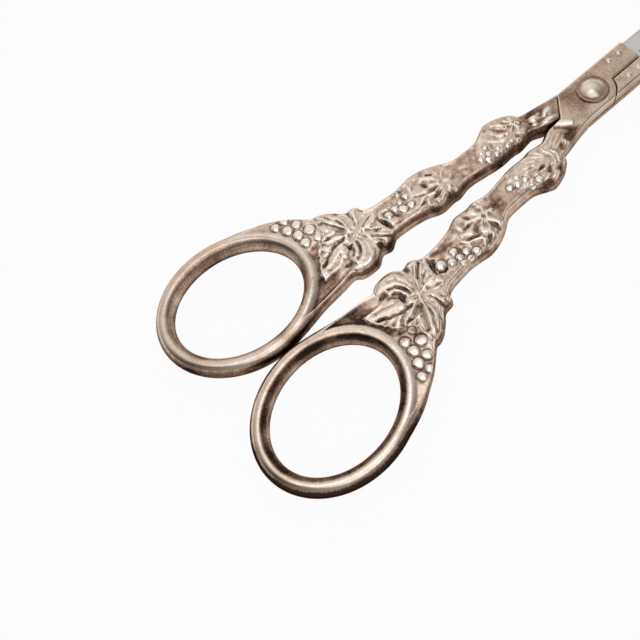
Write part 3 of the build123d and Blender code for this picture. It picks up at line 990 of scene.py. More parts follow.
@dataclass
class FingerBow:
    """Oval ring for a finger: an oval section carried round an oval path."""

    half_width: float = 15.5
    half_length: float = 18.9
    reach: float = 99.0
    offset: float = 18.006
    tilt: float = math.radians(10.2)
    rim_width: float = 4.5
    rim_height: float = 5.5
    around: int = 320
    across: int = 84
    # Darkness round the section by degrees from its outer side: tarnish, with painted shade on the outer
    # flank and inner wall and a painted highlight along the crest.
    right_tarnish_and_shade: Table = (
        (0.0, 1.15), (36.0, 1.15), (48.0, 0.95), (58.0, 0.5), (68.0, 0.33), (96.0, 0.31), (105.0, 0.58),
        (114.0, 0.92), (140.0, 0.9), (152.0, 0.72), (176.0, 0.7), (188.0, 0.85), (198.0, 1.1), (225.0, 1.1),
        (250.0, 0.7), (260.0, 0.25), (290.0, 0.25), (306.0, 0.7), (318.0, 1.15), (360.0, 1.15),
    )
    left_tarnish_and_shade: Table = (
        (0.0, 0.92), (30.0, 0.92), (42.0, 0.82), (54.0, 0.55), (66.0, 0.4), (100.0, 0.4), (114.0, 0.57),
        (128.0, 0.68), (150.0, 0.68), (176.0, 0.72), (190.0, 0.8), (198.0, 0.98), (225.0, 0.98),
        (250.0, 0.65), (260.0, 0.25), (290.0, 0.25), (306.0, 0.5), (318.0, 0.9), (360.0, 0.9),
    )
    wear_depth: float = 0.008
    wear_waves: int = 5
    wear_start: float = 0.7
    lit_flank_highlight: float = 0.3
    flank_facing: Pair = (0.2, 0.9)
    flank_side: Pair = (0.3, 0.8)
    patch_rise: float = 0.12
    patch_size: float = 4.0
    patch_slant: float = 0.7
    patch_seed: int = 8
    darkest: float = 1.3

    def shaded_tarnish(self, half: Half, turn: np.ndarray) -> np.ndarray:
        """Darkness round the section, by straight lines between the rows of the half's table: tarnish, with
        painted shade and a painted highlight.

        Args:
            half: the half that the ring belongs to.
            turn: degrees round the section from its outer side.

        Returns:
            The share of darkness at each turn.
        """
        table = np.array(half.pick(self.right_tarnish_and_shade, self.left_tarnish_and_shade))
        return np.interp(half.pick(turn, 360.0 - turn), table[:, 0], table[:, 1])

    def tilted(self, x: np.ndarray, y: np.ndarray) -> tuple[np.ndarray, np.ndarray]:
        """x and y turned by the tilt, by its cosine and sine."""
        cosine, sine = math.cos(self.tilt), math.sin(self.tilt)
        return x * cosine - y * sine, x * sine + y * cosine

    def centreline(self, angle: np.ndarray) -> np.ndarray:
        """Points of the ring's path: an oval by cosine and sine of the angle, turned by the tilt."""
        x, y = self.tilted(self.half_width * np.cos(angle), self.half_length * np.sin(angle))
        return np.stack([x + self.offset, y - self.reach], -1)

    def distance(self, x: np.ndarray, y: np.ndarray) -> np.ndarray:
        """Distance outside the ring's path: the oval's own radius less one, times the radius on that ray.

        Args:
            x: x of the points.
            y: y of the points.

        Returns:
            The distance of each point, below zero inside the path.
        """
        dx, dy = x - self.offset, y + self.reach
        along = dx * math.cos(self.tilt) + dy * math.sin(self.tilt)
        across = dy * math.cos(self.tilt) - dx * math.sin(self.tilt)
        ratio = np.hypot(along / self.half_width, across / self.half_length)
        return (1.0 - 1.0 / np.maximum(ratio, TINY)) * np.hypot(dx, dy)

    def top(self, distance: np.ndarray) -> np.ndarray:
        """Height of the ring at a distance from its path: the root of one less the square of its share."""
        share = np.clip(np.abs(distance) / (self.rim_width / 2), 0.0, 1.0)
        return self.rim_height / 2 * np.sqrt(1.0 - share**2)

    def points(self) -> np.ndarray:
        """Ring surface: the path plus its outward normal times the section's width, by height.

        Returns:
            The grid of points, rows round the ring and columns round the section.
        """
        angle = np.linspace(0.0, 2 * np.pi, self.around + 1)
        turn = np.linspace(0.0, 2 * np.pi, self.across + 1)
        nx, ny = self.half_length * np.cos(angle), self.half_width * np.sin(angle)
        size = np.hypot(nx, ny)
        out_x, out_y = self.tilted(nx / size, ny / size)
        path = self.centreline(angle)
        wear = 1.0 - self.wear_depth * (1.0 + np.sin(self.wear_waves * angle + self.wear_start)) / 2
        width = np.outer(wear, np.cos(turn)) * self.rim_width / 2
        height = np.outer(wear, np.sin(turn)) * self.rim_height / 2
        x = path[:, 0:1] + out_x[:, None] * width
        y = path[:, 1:2] + out_y[:, None] * width
        points = np.stack([x, y, height], -1)
        points[-1], points[:, -1] = points[0], points[:, 0]
        return points

    def build(self, half: Half, material: bpy.types.Material) -> bpy.types.Object:
        """The ring of one half, with a painted highlight on its outer flank towards the frame's -X, and soft
        patches.

        The painted highlight goes by how far the flank faces -X, which the path's own step along y gives.

        Args:
            half: the half that the ring belongs to.
            material: the finish.

        Returns:
            The new object.
        """
        points = self.points()
        turn = np.linspace(0.0, 360.0, self.across + 1)
        step_x = np.diff(points[:, 0, 0], append=points[1, 0, 0])
        step_y = np.diff(points[:, 0, 1], append=points[1, 0, 1])
        # Paler on the outer flank facing the frame's -X: a painted highlight of the lit side.
        facing = smooth_step(*self.flank_facing, -half.value * step_y / np.hypot(step_y, step_x))
        paled = self.lit_flank_highlight * facing[:, None] * smooth_step(*self.flank_side, np.cos(np.radians(turn)))
        slanted = points[..., 1] + self.patch_slant * points[..., 2]
        patches = value_noise(points[..., 0], slanted, self.patch_size, half.value + self.patch_seed)
        tarnish_and_shading = self.shaded_tarnish(half, turn) - paled + self.patch_rise * patches
        shell = Shell(f"{half.label}_finger_bow", half, Slot.SILVER)
        shell.add(points, np.clip(tarnish_and_shading, 0.0, self.darkest))
        return shell.build(material, f"{half.label}_handle")


@dataclass
class Bolster:
    """Full-thickness block beside the blade's edge, hollowed to clear the other half's lap end."""

    half: Half
    edge: Profile
    face: float
    clearance: float = 5.85
    left: float = -5.29
    right: float = -1.15
    far: float = 15.0
    roof: float = 0.3
    columns: int = 16
    rows: int = 26
    under_tarnish: float = 0.45
    roof_tarnish: float = 0.5
    end_tarnish: float = 0.6

    def build(self, material: bpy.types.Material) -> bpy.types.Object:
        """The block as one closed shell: the lap's edge profile across, turned down, under a flat roof.

        Columns stand across the block as on the lap, and each runs from the clearance circle to the end.

        Args:
            material: the finish.

        Returns:
            The new object.
        """
        profile = np.array(self.edge)
        inset = profile[:, 0]
        inside = np.linspace(self.left + inset[-1], self.right - inset[-1], self.columns + 2)[1:-1]
        columns = np.concatenate([self.left + inset, inside, self.right - inset[::-1]])
        levels = np.concatenate([profile[:, 1], np.full(len(inside), self.face), profile[::-1, 1]])
        low = np.sqrt(np.clip(self.clearance**2 - columns**2, 0.0, None))
        y = low + (self.far - low) * np.linspace(0.0, 1.0, self.rows)[:, None]
        x = np.broadcast_to(columns, y.shape)
        base = np.stack([x, y, np.broadcast_to(-levels, y.shape)], -1)
        roof = np.stack([x, y, np.full(x.shape, self.roof)], -1)
        shell = Shell(f"{self.half.label}_bolster", self.half, Slot.SILVER)
        shell.add(base[:, ::-1], self.under_tarnish)
        shell.add(roof, self.roof_tarnish)
        shell.add(np.stack([roof[0], base[0]]), self.end_tarnish)
        shell.add(np.stack([base[-1], roof[-1]]), self.end_tarnish)
        return shell.build(material, f"{self.half.label}_handle")


@dataclass
class CastHandle:
    """One cast handle: lap plate, relief arm and web, as sheets of rows from edge to edge."""

    half: Half
    bow: FingerBow
    relief: VineRelief
    face: float = 2.4
    lap_level: float = 0.03
    lap_tarnish: float = 0.55
    lap_under_tarnish: float = 0.6
    step_tarnish: float = 0.7
    end_tarnish: float = 0.5
    lap_radius: float = 5.7
    lap_half: float = 5.3
    lap_side: float = 1.0
    lap_far: float = 15.0
    lap_corner: float = 5.6
    lap_turns: Pair = (-6.7, -4.0)
    lap_counts: tuple[int, ...] = (16, 14, 14, 24)
    inner_shoulder: Pair = (0.15, -11.2)
    outer_shoulder: Pair = (5.45, -6.8)
    shoulder_run: float = 4.0
    square_from: float = -20.0
    shoulder_rows: int = 61
    arm_rows: int = 240
    arm_columns: int = 74
    web_columns: int = 176
    edge_spread: float = 0.26
    # Inset, level and darkness of each place of the arm's edge; on the wall the darkness is tarnish with
    # painted shade.
    arm_edge: Profile = (
        (0.0, 0.0, 0.75), (0.0, 0.3, 0.72), (0.0, 0.6, 0.7), (0.04, 0.9, 0.7), (0.12, 1.15, 0.74),
        (0.25, 1.38, 0.8), (0.38, 1.6, 0.82), (0.5, 1.81, 0.8), (0.62, 1.99, 0.74), (0.73, 2.13, 0.6),
        (0.85, 2.24, 0.46), (1.0, 2.335, 0.36), (1.2, 2.4, 0.34),
    )
    # Factor on the darkness of the wall nearer the camera, by y, and below it the far wall's: painted shade.
    right_near_wall_shade: Table = (
        (-8.0, 0.6), (-15.0, 0.75), (-19.0, 0.85), (-30.0, 0.95), (-33.0, 0.8), (-39.0, 0.7), (-42.0, 0.8),
        (-50.0, 0.9), (-54.0, 0.8), (-60.0, 0.75), (-63.0, 1.0), (-73.0, 1.0), (-77.0, 0.85), (-96.0, 0.9),
    )
    left_near_wall_shade: Table = (
        (-8.0, 1.1), (-15.0, 1.2), (-24.0, 1.2), (-30.0, 1.1), (-39.0, 1.0), (-42.0, 1.05), (-50.0, 0.95),
        (-54.0, 0.9), (-60.0, 0.9), (-63.0, 1.05), (-73.0, 1.0), (-77.0, 0.85), (-96.0, 0.9),
    )
    far_wall_shade: float = 0.45
    far_softness: float = 0.6
    wall_patches: float = 0.12
    wall_mottle: tuple[Mottle, ...] = (Mottle(1.0, 1.7, 11), Mottle(0.6, 0.8, 12))
    wall_slant: float = 0.3
    right_wall_ends: Pair = (0.3, 1.0)
    left_wall_ends: Pair = (0.62, 1.2)
    relief_on_edge: Pair = (0.1, 0.6)
    fade_in: Pair = (0.5, 1.0)
    palest: float = -0.2
    darkest: float = 0.86
    ring_darker: float = 0.4
    edge_softness: Table = (
        (-14.0, 1.0), (-19.0, 1.6), (-30.0, 1.6), (-34.0, 1.1), (-39.0, 1.1), (-43.0, 1.6), (-51.0, 1.6),
        (-54.0, 1.1), (-60.0, 1.1), (-64.0, 1.6), (-73.0, 1.6), (-77.0, 1.15), (-96.0, 1.0),
    )
    lap_edge: Profile = (
        (0.0, 0.03, 0.8), (0.0, 0.35, 0.6), (0.0, 0.7, 0.5), (0.0, 1.0, 0.5), (0.0, 1.3, 0.5),
        (0.0, 1.55, 0.5), (0.0, 1.8, 0.5), (0.03, 1.98, 0.5), (0.11, 2.15, 0.45), (0.25, 2.285, 0.4),
        (0.4, 2.36, 0.35), (0.5, 2.39, 0.4), (0.65, 2.4, 0.5),
    )
    inner_outline: Path = (
        (0.15, -11.2), (0.35, -14.0), (0.55, -16.2), (1.5, -18.3), (1.6, -19.7), (1.2, -22.7), (1.5, -25.0),
        (1.45, -29.3), (2.0, -33.0), (2.6, -36.8), (2.65, -39.2), (2.0, -42.0), (2.2, -44.0), (2.0, -46.4),
        (2.15, -48.3), (3.55, -51.6), (4.35, -55.5), (4.65, -59.7), (4.35, -61.0), (3.05, -63.2),
        (3.5, -65.7), (2.0, -68.0), (1.75, -70.3), (2.2, -73.0), (3.4, -74.9), (2.95, -78.5), (2.6, -81.5),
        (2.1, -85.2), (1.45, -88.5), (0.85, -91.5), (0.25, -95.46),
    )
    outer_outline: Path = (
        (5.3, -4.0), (5.45, -6.8), (6.0, -10.0), (6.95, -14.5), (7.7, -17.3), (9.4, -18.5), (11.1, -21.1),
        (12.0, -24.5), (11.4, -26.4), (10.0, -29.5), (9.75, -32.5), (9.85, -36.5), (10.3, -38.5),
        (11.9, -40.9), (13.4, -44.0), (14.15, -47.5), (13.85, -50.5), (13.6, -53.5), (13.8, -56.0),
        (14.4, -60.0), (15.6, -62.1), (17.3, -62.8), (17.9, -65.5), (19.4, -67.0), (21.4, -69.3),
        (22.3, -71.2), (22.5, -72.5), (23.7, -73.9), (26.5, -77.0), (28.45, -79.65), (30.95, -83.5),
        (32.25, -86.1), (33.4, -89.0), (34.67, -92.89),
    )
    ring_edge_from: Pair = (-80.0, -94.5)
    ring_edge_gap: float = 0.02
    web_start: float = -60.3
    fan_start: float = -72.0
    leaf_rows: int = 98
    fan_rows: int = 112
    spread_until: Pair = (-82.0, -75.0)
    arc_from: float = math.radians(160.0)
    arc_to: float = math.radians(10.0)

    def ends_at(self, inner_y: np.ndarray, outer_y: np.ndarray, spread: np.ndarray) -> Ends:
        """Both ends of each row: the edges' fair curves read at the given y, moved apart by the spread.

        Args:
            inner_y: y of the inner ends.
            outer_y: y of the outer ends.
            spread: how far each end moves outwards.

        Returns:
            The inner and the outer ends.
        """
        ends = []
        for outline, level, side in ((self.inner_outline, inner_y, -1.0), (self.outer_outline, outer_y, 1.0)):
            curve = fair_curve(outline)
            x = np.interp(-level, -curve[:, 1], curve[:, 0])
            ends.append(np.stack([x + side * spread, level], -1))
        return ends[0], ends[1]

    def rows_of_lap(self) -> Ends:
        """Both ends of the lap plate's rows, by equal steps between corners and round the lap's end.

        The outer side's own steps along x go by the square of the share, to meet the arm's edge smoothly.

        Returns:
            The inner and the outer ends, from the bolster's end to the shoulder.
        """
        radius, left, right = self.lap_radius, -self.lap_half, self.lap_half
        start, stop = math.acos(self.lap_side / radius), math.acos(self.lap_half / radius)
        arc = np.linspace(start, stop, self.lap_counts[1] + 1)[1:]
        inner_corners = np.array([
            (left, self.lap_far), (left, self.lap_corner), (left, 0.0), (left, self.lap_turns[0]),
            self.inner_shoulder,
        ])
        outer_corners = np.array([
            (self.lap_side, self.lap_far), (self.lap_side, radius * math.sin(start)),
            (right, radius * math.sin(stop)), (right, self.lap_turns[1]), self.outer_shoulder,
        ])
        inner, outer = [inner_corners[:1]], [outer_corners[:1]]
        for leg, count in enumerate(self.lap_counts):
            share = np.linspace(0.0, 1.0, count + 1)[1:, None]
            inner.append(inner_corners[leg] + (inner_corners[leg + 1] - inner_corners[leg]) * share)
            sideways = np.hstack([share**2, share])
            outer.append(outer_corners[leg] + (outer_corners[leg + 1] - outer_corners[leg]) * sideways)
        outer[2] = np.stack([radius * np.cos(arc), radius * np.sin(arc)], -1)
        return np.vstack(inner), np.vstack(outer)

    def rows_of_arm(self) -> Ends:
        """Both ends of the arm's rows: slanted from the shoulder's two corners, then square across.

        Returns:
            The inner and the outer ends, from the shoulder to the big leaf.
        """
        square = np.linspace(self.square_from, self.web_start, self.arm_rows)[1:]
        inner_y, outer_y = (
            np.concatenate([np.linspace(corner[1], self.square_from, self.shoulder_rows), square])
            for corner in (self.inner_shoulder, self.outer_shoulder)
        )
        return self.ends_at(inner_y, outer_y, self.edge_spread * self.arm_share(inner_y))

    def arm_share(self, inner_y: np.ndarray) -> np.ndarray:
        """How far each row has passed from the lap's plain edges to the arm's: 0 to 1 over a short run."""
        return np.clip((self.inner_shoulder[1] - inner_y) / self.shoulder_run, 0.0, 1.0)

    def plan(self, inner: np.ndarray, outer: np.ndarray, place: np.ndarray, bulge: np.ndarray,
             margin: np.ndarray) -> tuple[np.ndarray, np.ndarray]:
        """Plan position of each grid point: a straight row, plus a share of the bow's arc above its chord.

        Args:
            inner: inner ends of the rows.
            outer: outer ends of the rows.
            place: distance of each point along its row.
            bulge: each row's share of the arc.
            margin: length at both ends of each row that stays straight.

        Returns:
            The x and the y of each point.
        """
        width = np.hypot(*(outer - inner).T)[:, None]
        share = place / width
        x = inner[:, 0:1] + (outer - inner)[:, 0:1] * share
        y = inner[:, 1:2] + (outer - inner)[:, 1:2] * share
        on_arc = np.clip((place - margin[:, None]) / (width - 2 * margin[:, None]), 0.0, 1.0)
        angle = self.arc_from + (self.arc_to - self.arc_from) * on_arc
        arc = self.bow.centreline(angle)
        ends = self.bow.centreline(np.array([self.arc_from, self.arc_to]))
        chord = ends[0] + (ends[1] - ends[0]) * on_arc[..., None]
        lift = (arc - chord) * bulge[:, None, None]
        return x + lift[..., 0], y + lift[..., 1]

    def sheet(self, inner: np.ndarray, outer: np.ndarray, bulge: np.ndarray, arm_share: np.ndarray,
              count: int, plain: bool = False) -> Surface:
        """Upper sheet over the given rows: walls and rounded edges by a profile, and the relief between them.

        Height is the profile's own level, plus what the relief stands above the face, faded out on the edge.

        Args:
            inner: inner ends of the rows.
            outer: outer ends of the rows.
            bulge: each row's share of the bow's arc.
            arm_share: each row's share of the arm's edge profile, beside the lap's.
            count: columns between the edges.
            plain: whether the sheet is the flat lap.

        Returns:
            The sheet.
        """
        arm_edge, lap_edge, ring_edge = np.array(self.arm_edge), np.array(self.lap_edge), self.ring_edge()
        edge = lap_edge + (arm_edge - lap_edge) * arm_share[:, None, None]
        row_y = inner[:, 1]
        ring = smooth_step(*self.ring_edge_from, row_y)[:, None]
        edge = edge + (ring_edge - edge) * ring[..., None]
        inset, level, wall = edge[..., 0], edge[..., 1], edge[..., 2]
        softer = by_y(self.edge_softness, row_y)[:, None]
        softer = softer + (1.0 - softer) * ring
        sharper = self.far_softness + (1.0 - self.far_softness) * np.maximum(ring, 1.0 - arm_share[:, None])
        inset_near, inset_far = inset * softer, inset * softer * sharper
        width = np.hypot(*(outer - inner).T)[:, None]
        start, end = self.half.pick((inset_far, inset_near), (inset_near, inset_far))
        inside = np.linspace(0.0, 1.0, count + 2)[1:-1]
        middle = start[:, -1:] + inside * (width - start[:, -1:] - end[:, -1:])
        place = np.hstack([start, middle, width - end[:, ::-1]])
        nearest = np.minimum(place, width - place)
        x, y = self.plan(inner, outer, place, bulge, ring[:, 0] * self.bow.rim_width / 2)
        top = np.full(x.shape, self.face) if plain else self.relief.height(x, y, nearest)
        face_tarnish_and_shading = np.full(x.shape, self.lap_tarnish) if plain else self.relief.shaded_tarnish(top, x, y)
        fade = np.concatenate([np.zeros(len(arm_edge) - 2), self.fade_in])
        weight = np.concatenate([fade, np.ones(count), fade[::-1]])
        flat = np.zeros(middle.shape)
        z = np.hstack([level, flat, level[:, ::-1]]) * (1.0 - weight) + top * weight
        over_edge = (1.0 - weight) * (1.0 - ring) * smooth_step(*self.relief_on_edge, nearest)
        z = z + (top - self.face) * over_edge
        # The wall nearer the camera is made darker than the far one: painted shade.
        near = by_y(self.half.pick(self.right_near_wall_shade, self.left_near_wall_shade), row_y)[:, None]
        near = near + (1.0 - near) * ring
        far = self.far_wall_shade + (1.0 - self.far_wall_shade) * ring
        shades = self.half.pick((far, near), (near, far))
        walls = np.hstack([wall * shades[0], flat, wall[:, ::-1] * shades[1]])
        wall_ends = self.half.pick(self.right_wall_ends, self.left_wall_ends)
        shown = np.maximum(weight, smooth_step(*wall_ends, nearest) * (1.0 - ring))
        tarnish_and_shading = walls * (1.0 - shown) + face_tarnish_and_shading * shown
        patches = mottled(self.wall_mottle, y, z + self.wall_slant * x)
        tarnish_and_shading = tarnish_and_shading + self.wall_patches * by_y(self.relief.roughness, y) * patches * (1.0 - shown)
        # Stains, and painted shade and highlights, laid on the darkness.
        for mark in self.relief.stains_and_shading:
            tarnish_and_shading = mark.apply(tarnish_and_shading, x, y)
        tarnish_and_shading = np.clip(tarnish_and_shading, self.palest, self.darkest + self.ring_darker * ring)
        return Surface(np.stack([x, y, z], -1), tarnish_and_shading)

    def ring_edge(self) -> np.ndarray:
        """Edge profile like the outer upper quarter of the ring: its width and height by cosine and sine.

        Returns:
            Inset, level and tarnish of each place, as many as the arm's own edge has.
        """
        turn = np.linspace(0.0, 90.0, len(self.arm_edge))
        inset = self.bow.rim_width / 2 * (1.0 - np.cos(np.radians(turn)))
        level = (self.bow.rim_height / 2 - self.ring_edge_gap) * np.sin(np.radians(turn))
        shown = self.half.pick(turn, 360.0 - turn)
        # Inset, level and darkness of each place, tarnish with painted shade, as many as the arm's own edge
        # has.
        return np.stack([inset, level, self.bow.shaded_tarnish(self.half, shown)], -1)

    def build_arm(self, material: bpy.types.Material) -> bpy.types.Object:
        """Lap plate and arm, as one closed shell: the arm's sheet is mirrored below, the lap's is flat.

        Args:
            material: the finish.

        Returns:
            The new object.
        """
        lap_inner, lap_outer = self.rows_of_lap()
        arm_inner, arm_outer = self.rows_of_arm()
        no_lap, no_arm = np.zeros(len(lap_inner)), np.zeros(len(arm_inner))
        arm = self.sheet(arm_inner, arm_outer, no_arm, self.arm_share(arm_inner[:, 1]), self.arm_columns)
        lap = self.sheet(lap_inner, lap_outer, no_lap, no_lap, self.arm_columns, plain=True)
        lap.points[-1] = arm.points[0]
        under = arm.points * np.array([1.0, 1.0, -1.0])
        under[:, 0], under[:, -1] = arm.points[:, 0], arm.points[:, -1]
        flat = lap.points.copy()
        flat[..., 2] = self.lap_level
        shell = Shell(f"{self.half.label}_arm", self.half, Slot.SILVER)
        shell.add(lap.points, lap.tarnish_and_shading)
        shell.add(arm.points, arm.tarnish_and_shading)
        shell.add(under[:, ::-1], arm.tarnish_and_shading[:, ::-1])
        shell.add(flat[:, ::-1], self.lap_under_tarnish)
        shell.add(np.stack([flat[-1], under[0]])[:, ::-1], self.step_tarnish)
        shell.add(np.stack([flat[0], lap.points[0]]), self.end_tarnish)
        shell.add(np.stack([arm.points[-1], under[-1]]), self.end_tarnish)
        return shell.build(material, f"{self.half.label}_handle")

    def build_web(self, material: bpy.types.Material) -> bpy.types.Object:
        """Big leaf and web, fanning out to end inside the ring, as one closed shell.

        Args:
            material: the finish.

        Returns:
            The new object.
        """
        leaf_y = np.linspace(self.web_start, self.fan_start, self.leaf_rows)
        share = np.linspace(0.0, 1.0, self.fan_rows)[1:]
        inner_y, outer_y = (
            np.concatenate([leaf_y, self.fan_start + (outline[-1][1] - self.fan_start) * share])
            for outline in (self.inner_outline, self.outer_outline)
        )
        spread = self.edge_spread * smooth_step(*self.spread_until, inner_y)
        inner, outer = self.ends_at(inner_y, outer_y, spread)
        bulge = np.concatenate([np.zeros(len(leaf_y)), share])
        top = self.sheet(inner, outer, bulge, np.ones(len(inner)), self.web_columns)
        under = top.points * np.array([1.0, 1.0, -1.0])
        shell = Shell(f"{self.half.label}_web", self.half, Slot.SILVER)
        shell.add(top.points, top.tarnish_and_shading)
        shell.add(under[:, ::-1], top.tarnish_and_shading[:, ::-1])
        shell.add(np.stack([under[0], top.points[0]]), self.end_tarnish)
        shell.add(np.stack([top.points[-1], under[-1]]), self.end_tarnish)
        return shell.build(material, f"{self.half.label}_handle")

    def build(self, material: bpy.types.Material) -> None:
        """All pieces of the handle, in order from the arm to the bow.

        Args:
            material: the finish of them all.
        """
        self.build_arm(material)
        self.build_web(material)
        Bolster(self.half, self.lap_edge, self.face).build(material)
        self.bow.build(self.half, material)


@dataclass
class PivotJoint:
    """Domed pin and its washer, as profiles turned about the pivot's axis."""

    around: int = 96
    curve_steps: int = 4
    crown_tarnish: float = 0.25
    rim_tarnish: float = 0.4
    rim_reach: Pair = (2.2, 3.2)
    pin_profile: Path = (
        (0.0, -2.25), (1.35, -2.25), (1.6, -2.05), (1.6, 2.83), (2.8, 2.83), (2.94, 2.86), (3.0, 2.92),
        (2.93, 2.955), (2.8, 2.97), (2.6, 3.07), (2.0, 3.35), (1.5, 3.52), (1.0, 3.64), (0.5, 3.707),
        (0.0, 3.73),
    )
    washer_profile: Path = (
        (1.61, 2.43), (3.9, 2.43), (3.98, 2.47), (4.0, 2.54), (3.96, 2.64), (3.86, 2.72), (3.7, 2.79),
        (3.5, 2.825), (3.25, 2.828), (1.61, 2.828), (1.61, 2.43),
    )

    def turned(self, outline: np.ndarray) -> np.ndarray:
        """Outline turned about the axis: its radius times the cosine and sine of the turn, and its height.

        Args:
            outline: radius and height of each place of the profile.

        Returns:
            The grid of points, rows along the profile and columns round the axis.
        """
        radius, height = np.clip(outline[:, 0], 0.0, None), outline[:, 1:2]
        turn = np.linspace(0.0, 2 * np.pi, self.around + 1)
        x, y = np.outer(radius, np.cos(turn)), np.outer(radius, np.sin(turn))
        points = np.stack([x, y, np.repeat(height, len(turn), 1)], -1)
        points[:, -1] = points[:, 0]
        return points

    def build(self, material: bpy.types.Material) -> None:
        """Pin and washer, which stay with the left half, darker towards the rim.

        Args:
            material: the finish of both.
        """
        pin, washer = fair_curve(self.pin_profile, self.curve_steps), np.array(self.washer_profile)
        for name, outline in (("pivot_pin", pin), ("pivot_washer", washer)):
            shell = Shell(f"{name}_turned", Half.RIGHT, Slot.PIVOT, body=Half.LEFT.body)
            points = self.turned(outline)
            rim = smooth_step(*self.rim_reach, np.hypot(points[..., 0], points[..., 1]))
            shell.add(points, self.crown_tarnish + self.rim_tarnish * rim)
            shell.build(material, name)


@dataclass
class NodeGraph:
    """Short hand for the nodes of one material or world."""

    owner: bpy.types.Material | bpy.types.World

    @classmethod
    def start(cls, owner: bpy.types.Material | bpy.types.World) -> "NodeGraph":
        """The nodes of a new material or world, emptied."""
        owner.use_nodes = True
        owner.node_tree.nodes.clear()
        return cls(owner)

    def put(self, value: object, socket: bpy.types.NodeSocket) -> None:
        """Link a socket to an input, or set the input to a number, colour or vector.

        Args:
            value: the socket or the value.
            socket: the input.
        """
        if isinstance(value, bpy.types.NodeSocket):
            self.owner.node_tree.links.new(value, socket)
        else:
            socket.default_value = value

    def node(self, kind: str, **values: object) -> bpy.types.Node:
        """A node of a kind, with its properties or, by the socket's name, its inputs set or linked.

        Args:
            kind: Blender's name of the kind.
            values: property names and input names with values or sockets.

        Returns:
            The new node.
        """
        made = self.owner.node_tree.nodes.new(kind)
        for name, value in values.items():
            socket = made.inputs.get(name.replace("_", " "))
            if socket is None:
                setattr(made, name, value)
            else:
                self.put(value, socket)
        return made

    def math(self, operation: str, first: object, second: object,
             clamp: bool = False) -> bpy.types.NodeSocket:
        """Result of a math node on two values or sockets.

        Args:
            operation: Blender's name of the operation.
            first: first value or socket.
            second: second value or socket.
            clamp: whether the result is kept between 0 and 1.

        Returns:
            The socket with the result.
        """
        made = self.node("ShaderNodeMath", operation=operation, use_clamp=clamp)
        self.put(first, made.inputs[0])
        self.put(second, made.inputs[1])
        return made.outputs[0]

    def ramp(self, factor: bpy.types.NodeSocket, stops: Stops) -> bpy.types.NodeSocket:
        """Colour by straight lines between the stops of a colour ramp.

        Args:
            factor: the socket that is looked up.
            stops: place and colour of each stop, in order.

        Returns:
            The socket with the colour.
        """
        made = self.node("ShaderNodeValToRGB", Fac=factor)
        elements = made.color_ramp.elements
        while len(elements) < len(stops):
            elements.new(0.5)
        for element, (place, colour) in zip(elements, stops):
            element.position = place
            element.color = (*colour, 1.0)
        return made.outputs[0]

    def bump(self, height: bpy.types.NodeSocket, strength: float, distance: float,
             **values: object) -> bpy.types.NodeSocket:
        """Normal bent by a height, with a strength and a depth in metres."""
        made = self.node("ShaderNodeBump", Strength=strength, Distance=distance, Height=height, **values)
        return made.outputs[0]

    def noise(self, place: bpy.types.NodeSocket, scale: float, detail: float,
              roughness: float) -> bpy.types.NodeSocket:
        """Noise at a place, with its cells per metre, its layers and how strong each next layer is."""
        made = self.node("ShaderNodeTexNoise", Vector=place, Scale=scale, Detail=detail, Roughness=roughness)
        return made.outputs["Fac"]

    def finish(self, shader: bpy.types.NodeSocket, kind: str = "ShaderNodeOutputMaterial") -> bpy.types.ID:
        """Link the shader to an output node of the kind and give the material or world back."""
        self.node(kind, Surface=shader)
        return self.owner


@dataclass(frozen=True)
class TarnishedSilver:
    """Silver plate, worn pale on what stands proud and brown with tarnish in what is sunk, with painted shade
    and highlights in its darkness attribute.
    """

    name: str = "tarnished_silver"
    colours: Stops = (
        (0.0, (0.88, 0.835, 0.785)),
        (0.14, (0.80, 0.72, 0.645)),
        (0.45, (0.635, 0.495, 0.39)),
        (0.72, (0.26, 0.165, 0.12)),
        (0.96, (0.035, 0.022, 0.018)),
    )
    edge_tint: tuple[float, float, float, float] = (0.42, 0.37, 0.33, 1.0)
    smudge_noise: Triple = (300.0, 4.0, 0.55)
    smudge_spread: float = 0.5
    speck_noise: Triple = (2100.0, 3.0, 0.6)
    speck_spread: float = 0.45
    wave_noise: Triple = (420.0, 2.0, 0.5)
    smoothest: float = 0.13
    tarnish_roughness: float = 0.20
    speck_roughness: float = 0.10
    speck_bump: Pair = (0.25, 0.00003)
    wave_bump: Pair = (0.35, 0.00006)

    def make(self) -> bpy.types.Material:
        """Colour by the share of tarnish and painted shading plus smudges and specks, with both in its
        roughness and bump.

        Returns:
            The material.
        """
        graph = NodeGraph.start(bpy.data.materials.new(self.name))
        place = graph.node("ShaderNodeTexCoord").outputs["Object"]
        tarnish_and_shading = graph.node("ShaderNodeAttribute", attribute_name="tarnish_and_shading").outputs["Fac"]
        smudge, speck = graph.noise(place, *self.smudge_noise), graph.noise(place, *self.speck_noise)
        wave = graph.noise(place, *self.wave_noise)
        spread = graph.math("MULTIPLY", graph.math("SUBTRACT", smudge, 0.5), self.smudge_spread)
        fine = graph.math("MULTIPLY", graph.math("SUBTRACT", speck, 0.5), self.speck_spread)
        shaded_tarnish = graph.math("ADD", graph.math("ADD", tarnish_and_shading, spread), fine, clamp=True)
        rough = graph.math("ADD", graph.math("MULTIPLY", shaded_tarnish, self.tarnish_roughness), self.smoothest)
        rough = graph.math("ADD", rough, graph.math("MULTIPLY", speck, self.speck_roughness))
        normal = graph.bump(wave, *self.wave_bump, Normal=graph.bump(speck, *self.speck_bump))
        colour = graph.ramp(shaded_tarnish, self.colours)
        shader = graph.node("ShaderNodeBsdfPrincipled", Base_Color=colour, Metallic=1.0, Roughness=rough,
                            Specular_Tint=self.edge_tint, Normal=normal)
        return graph.finish(shader.outputs[0])


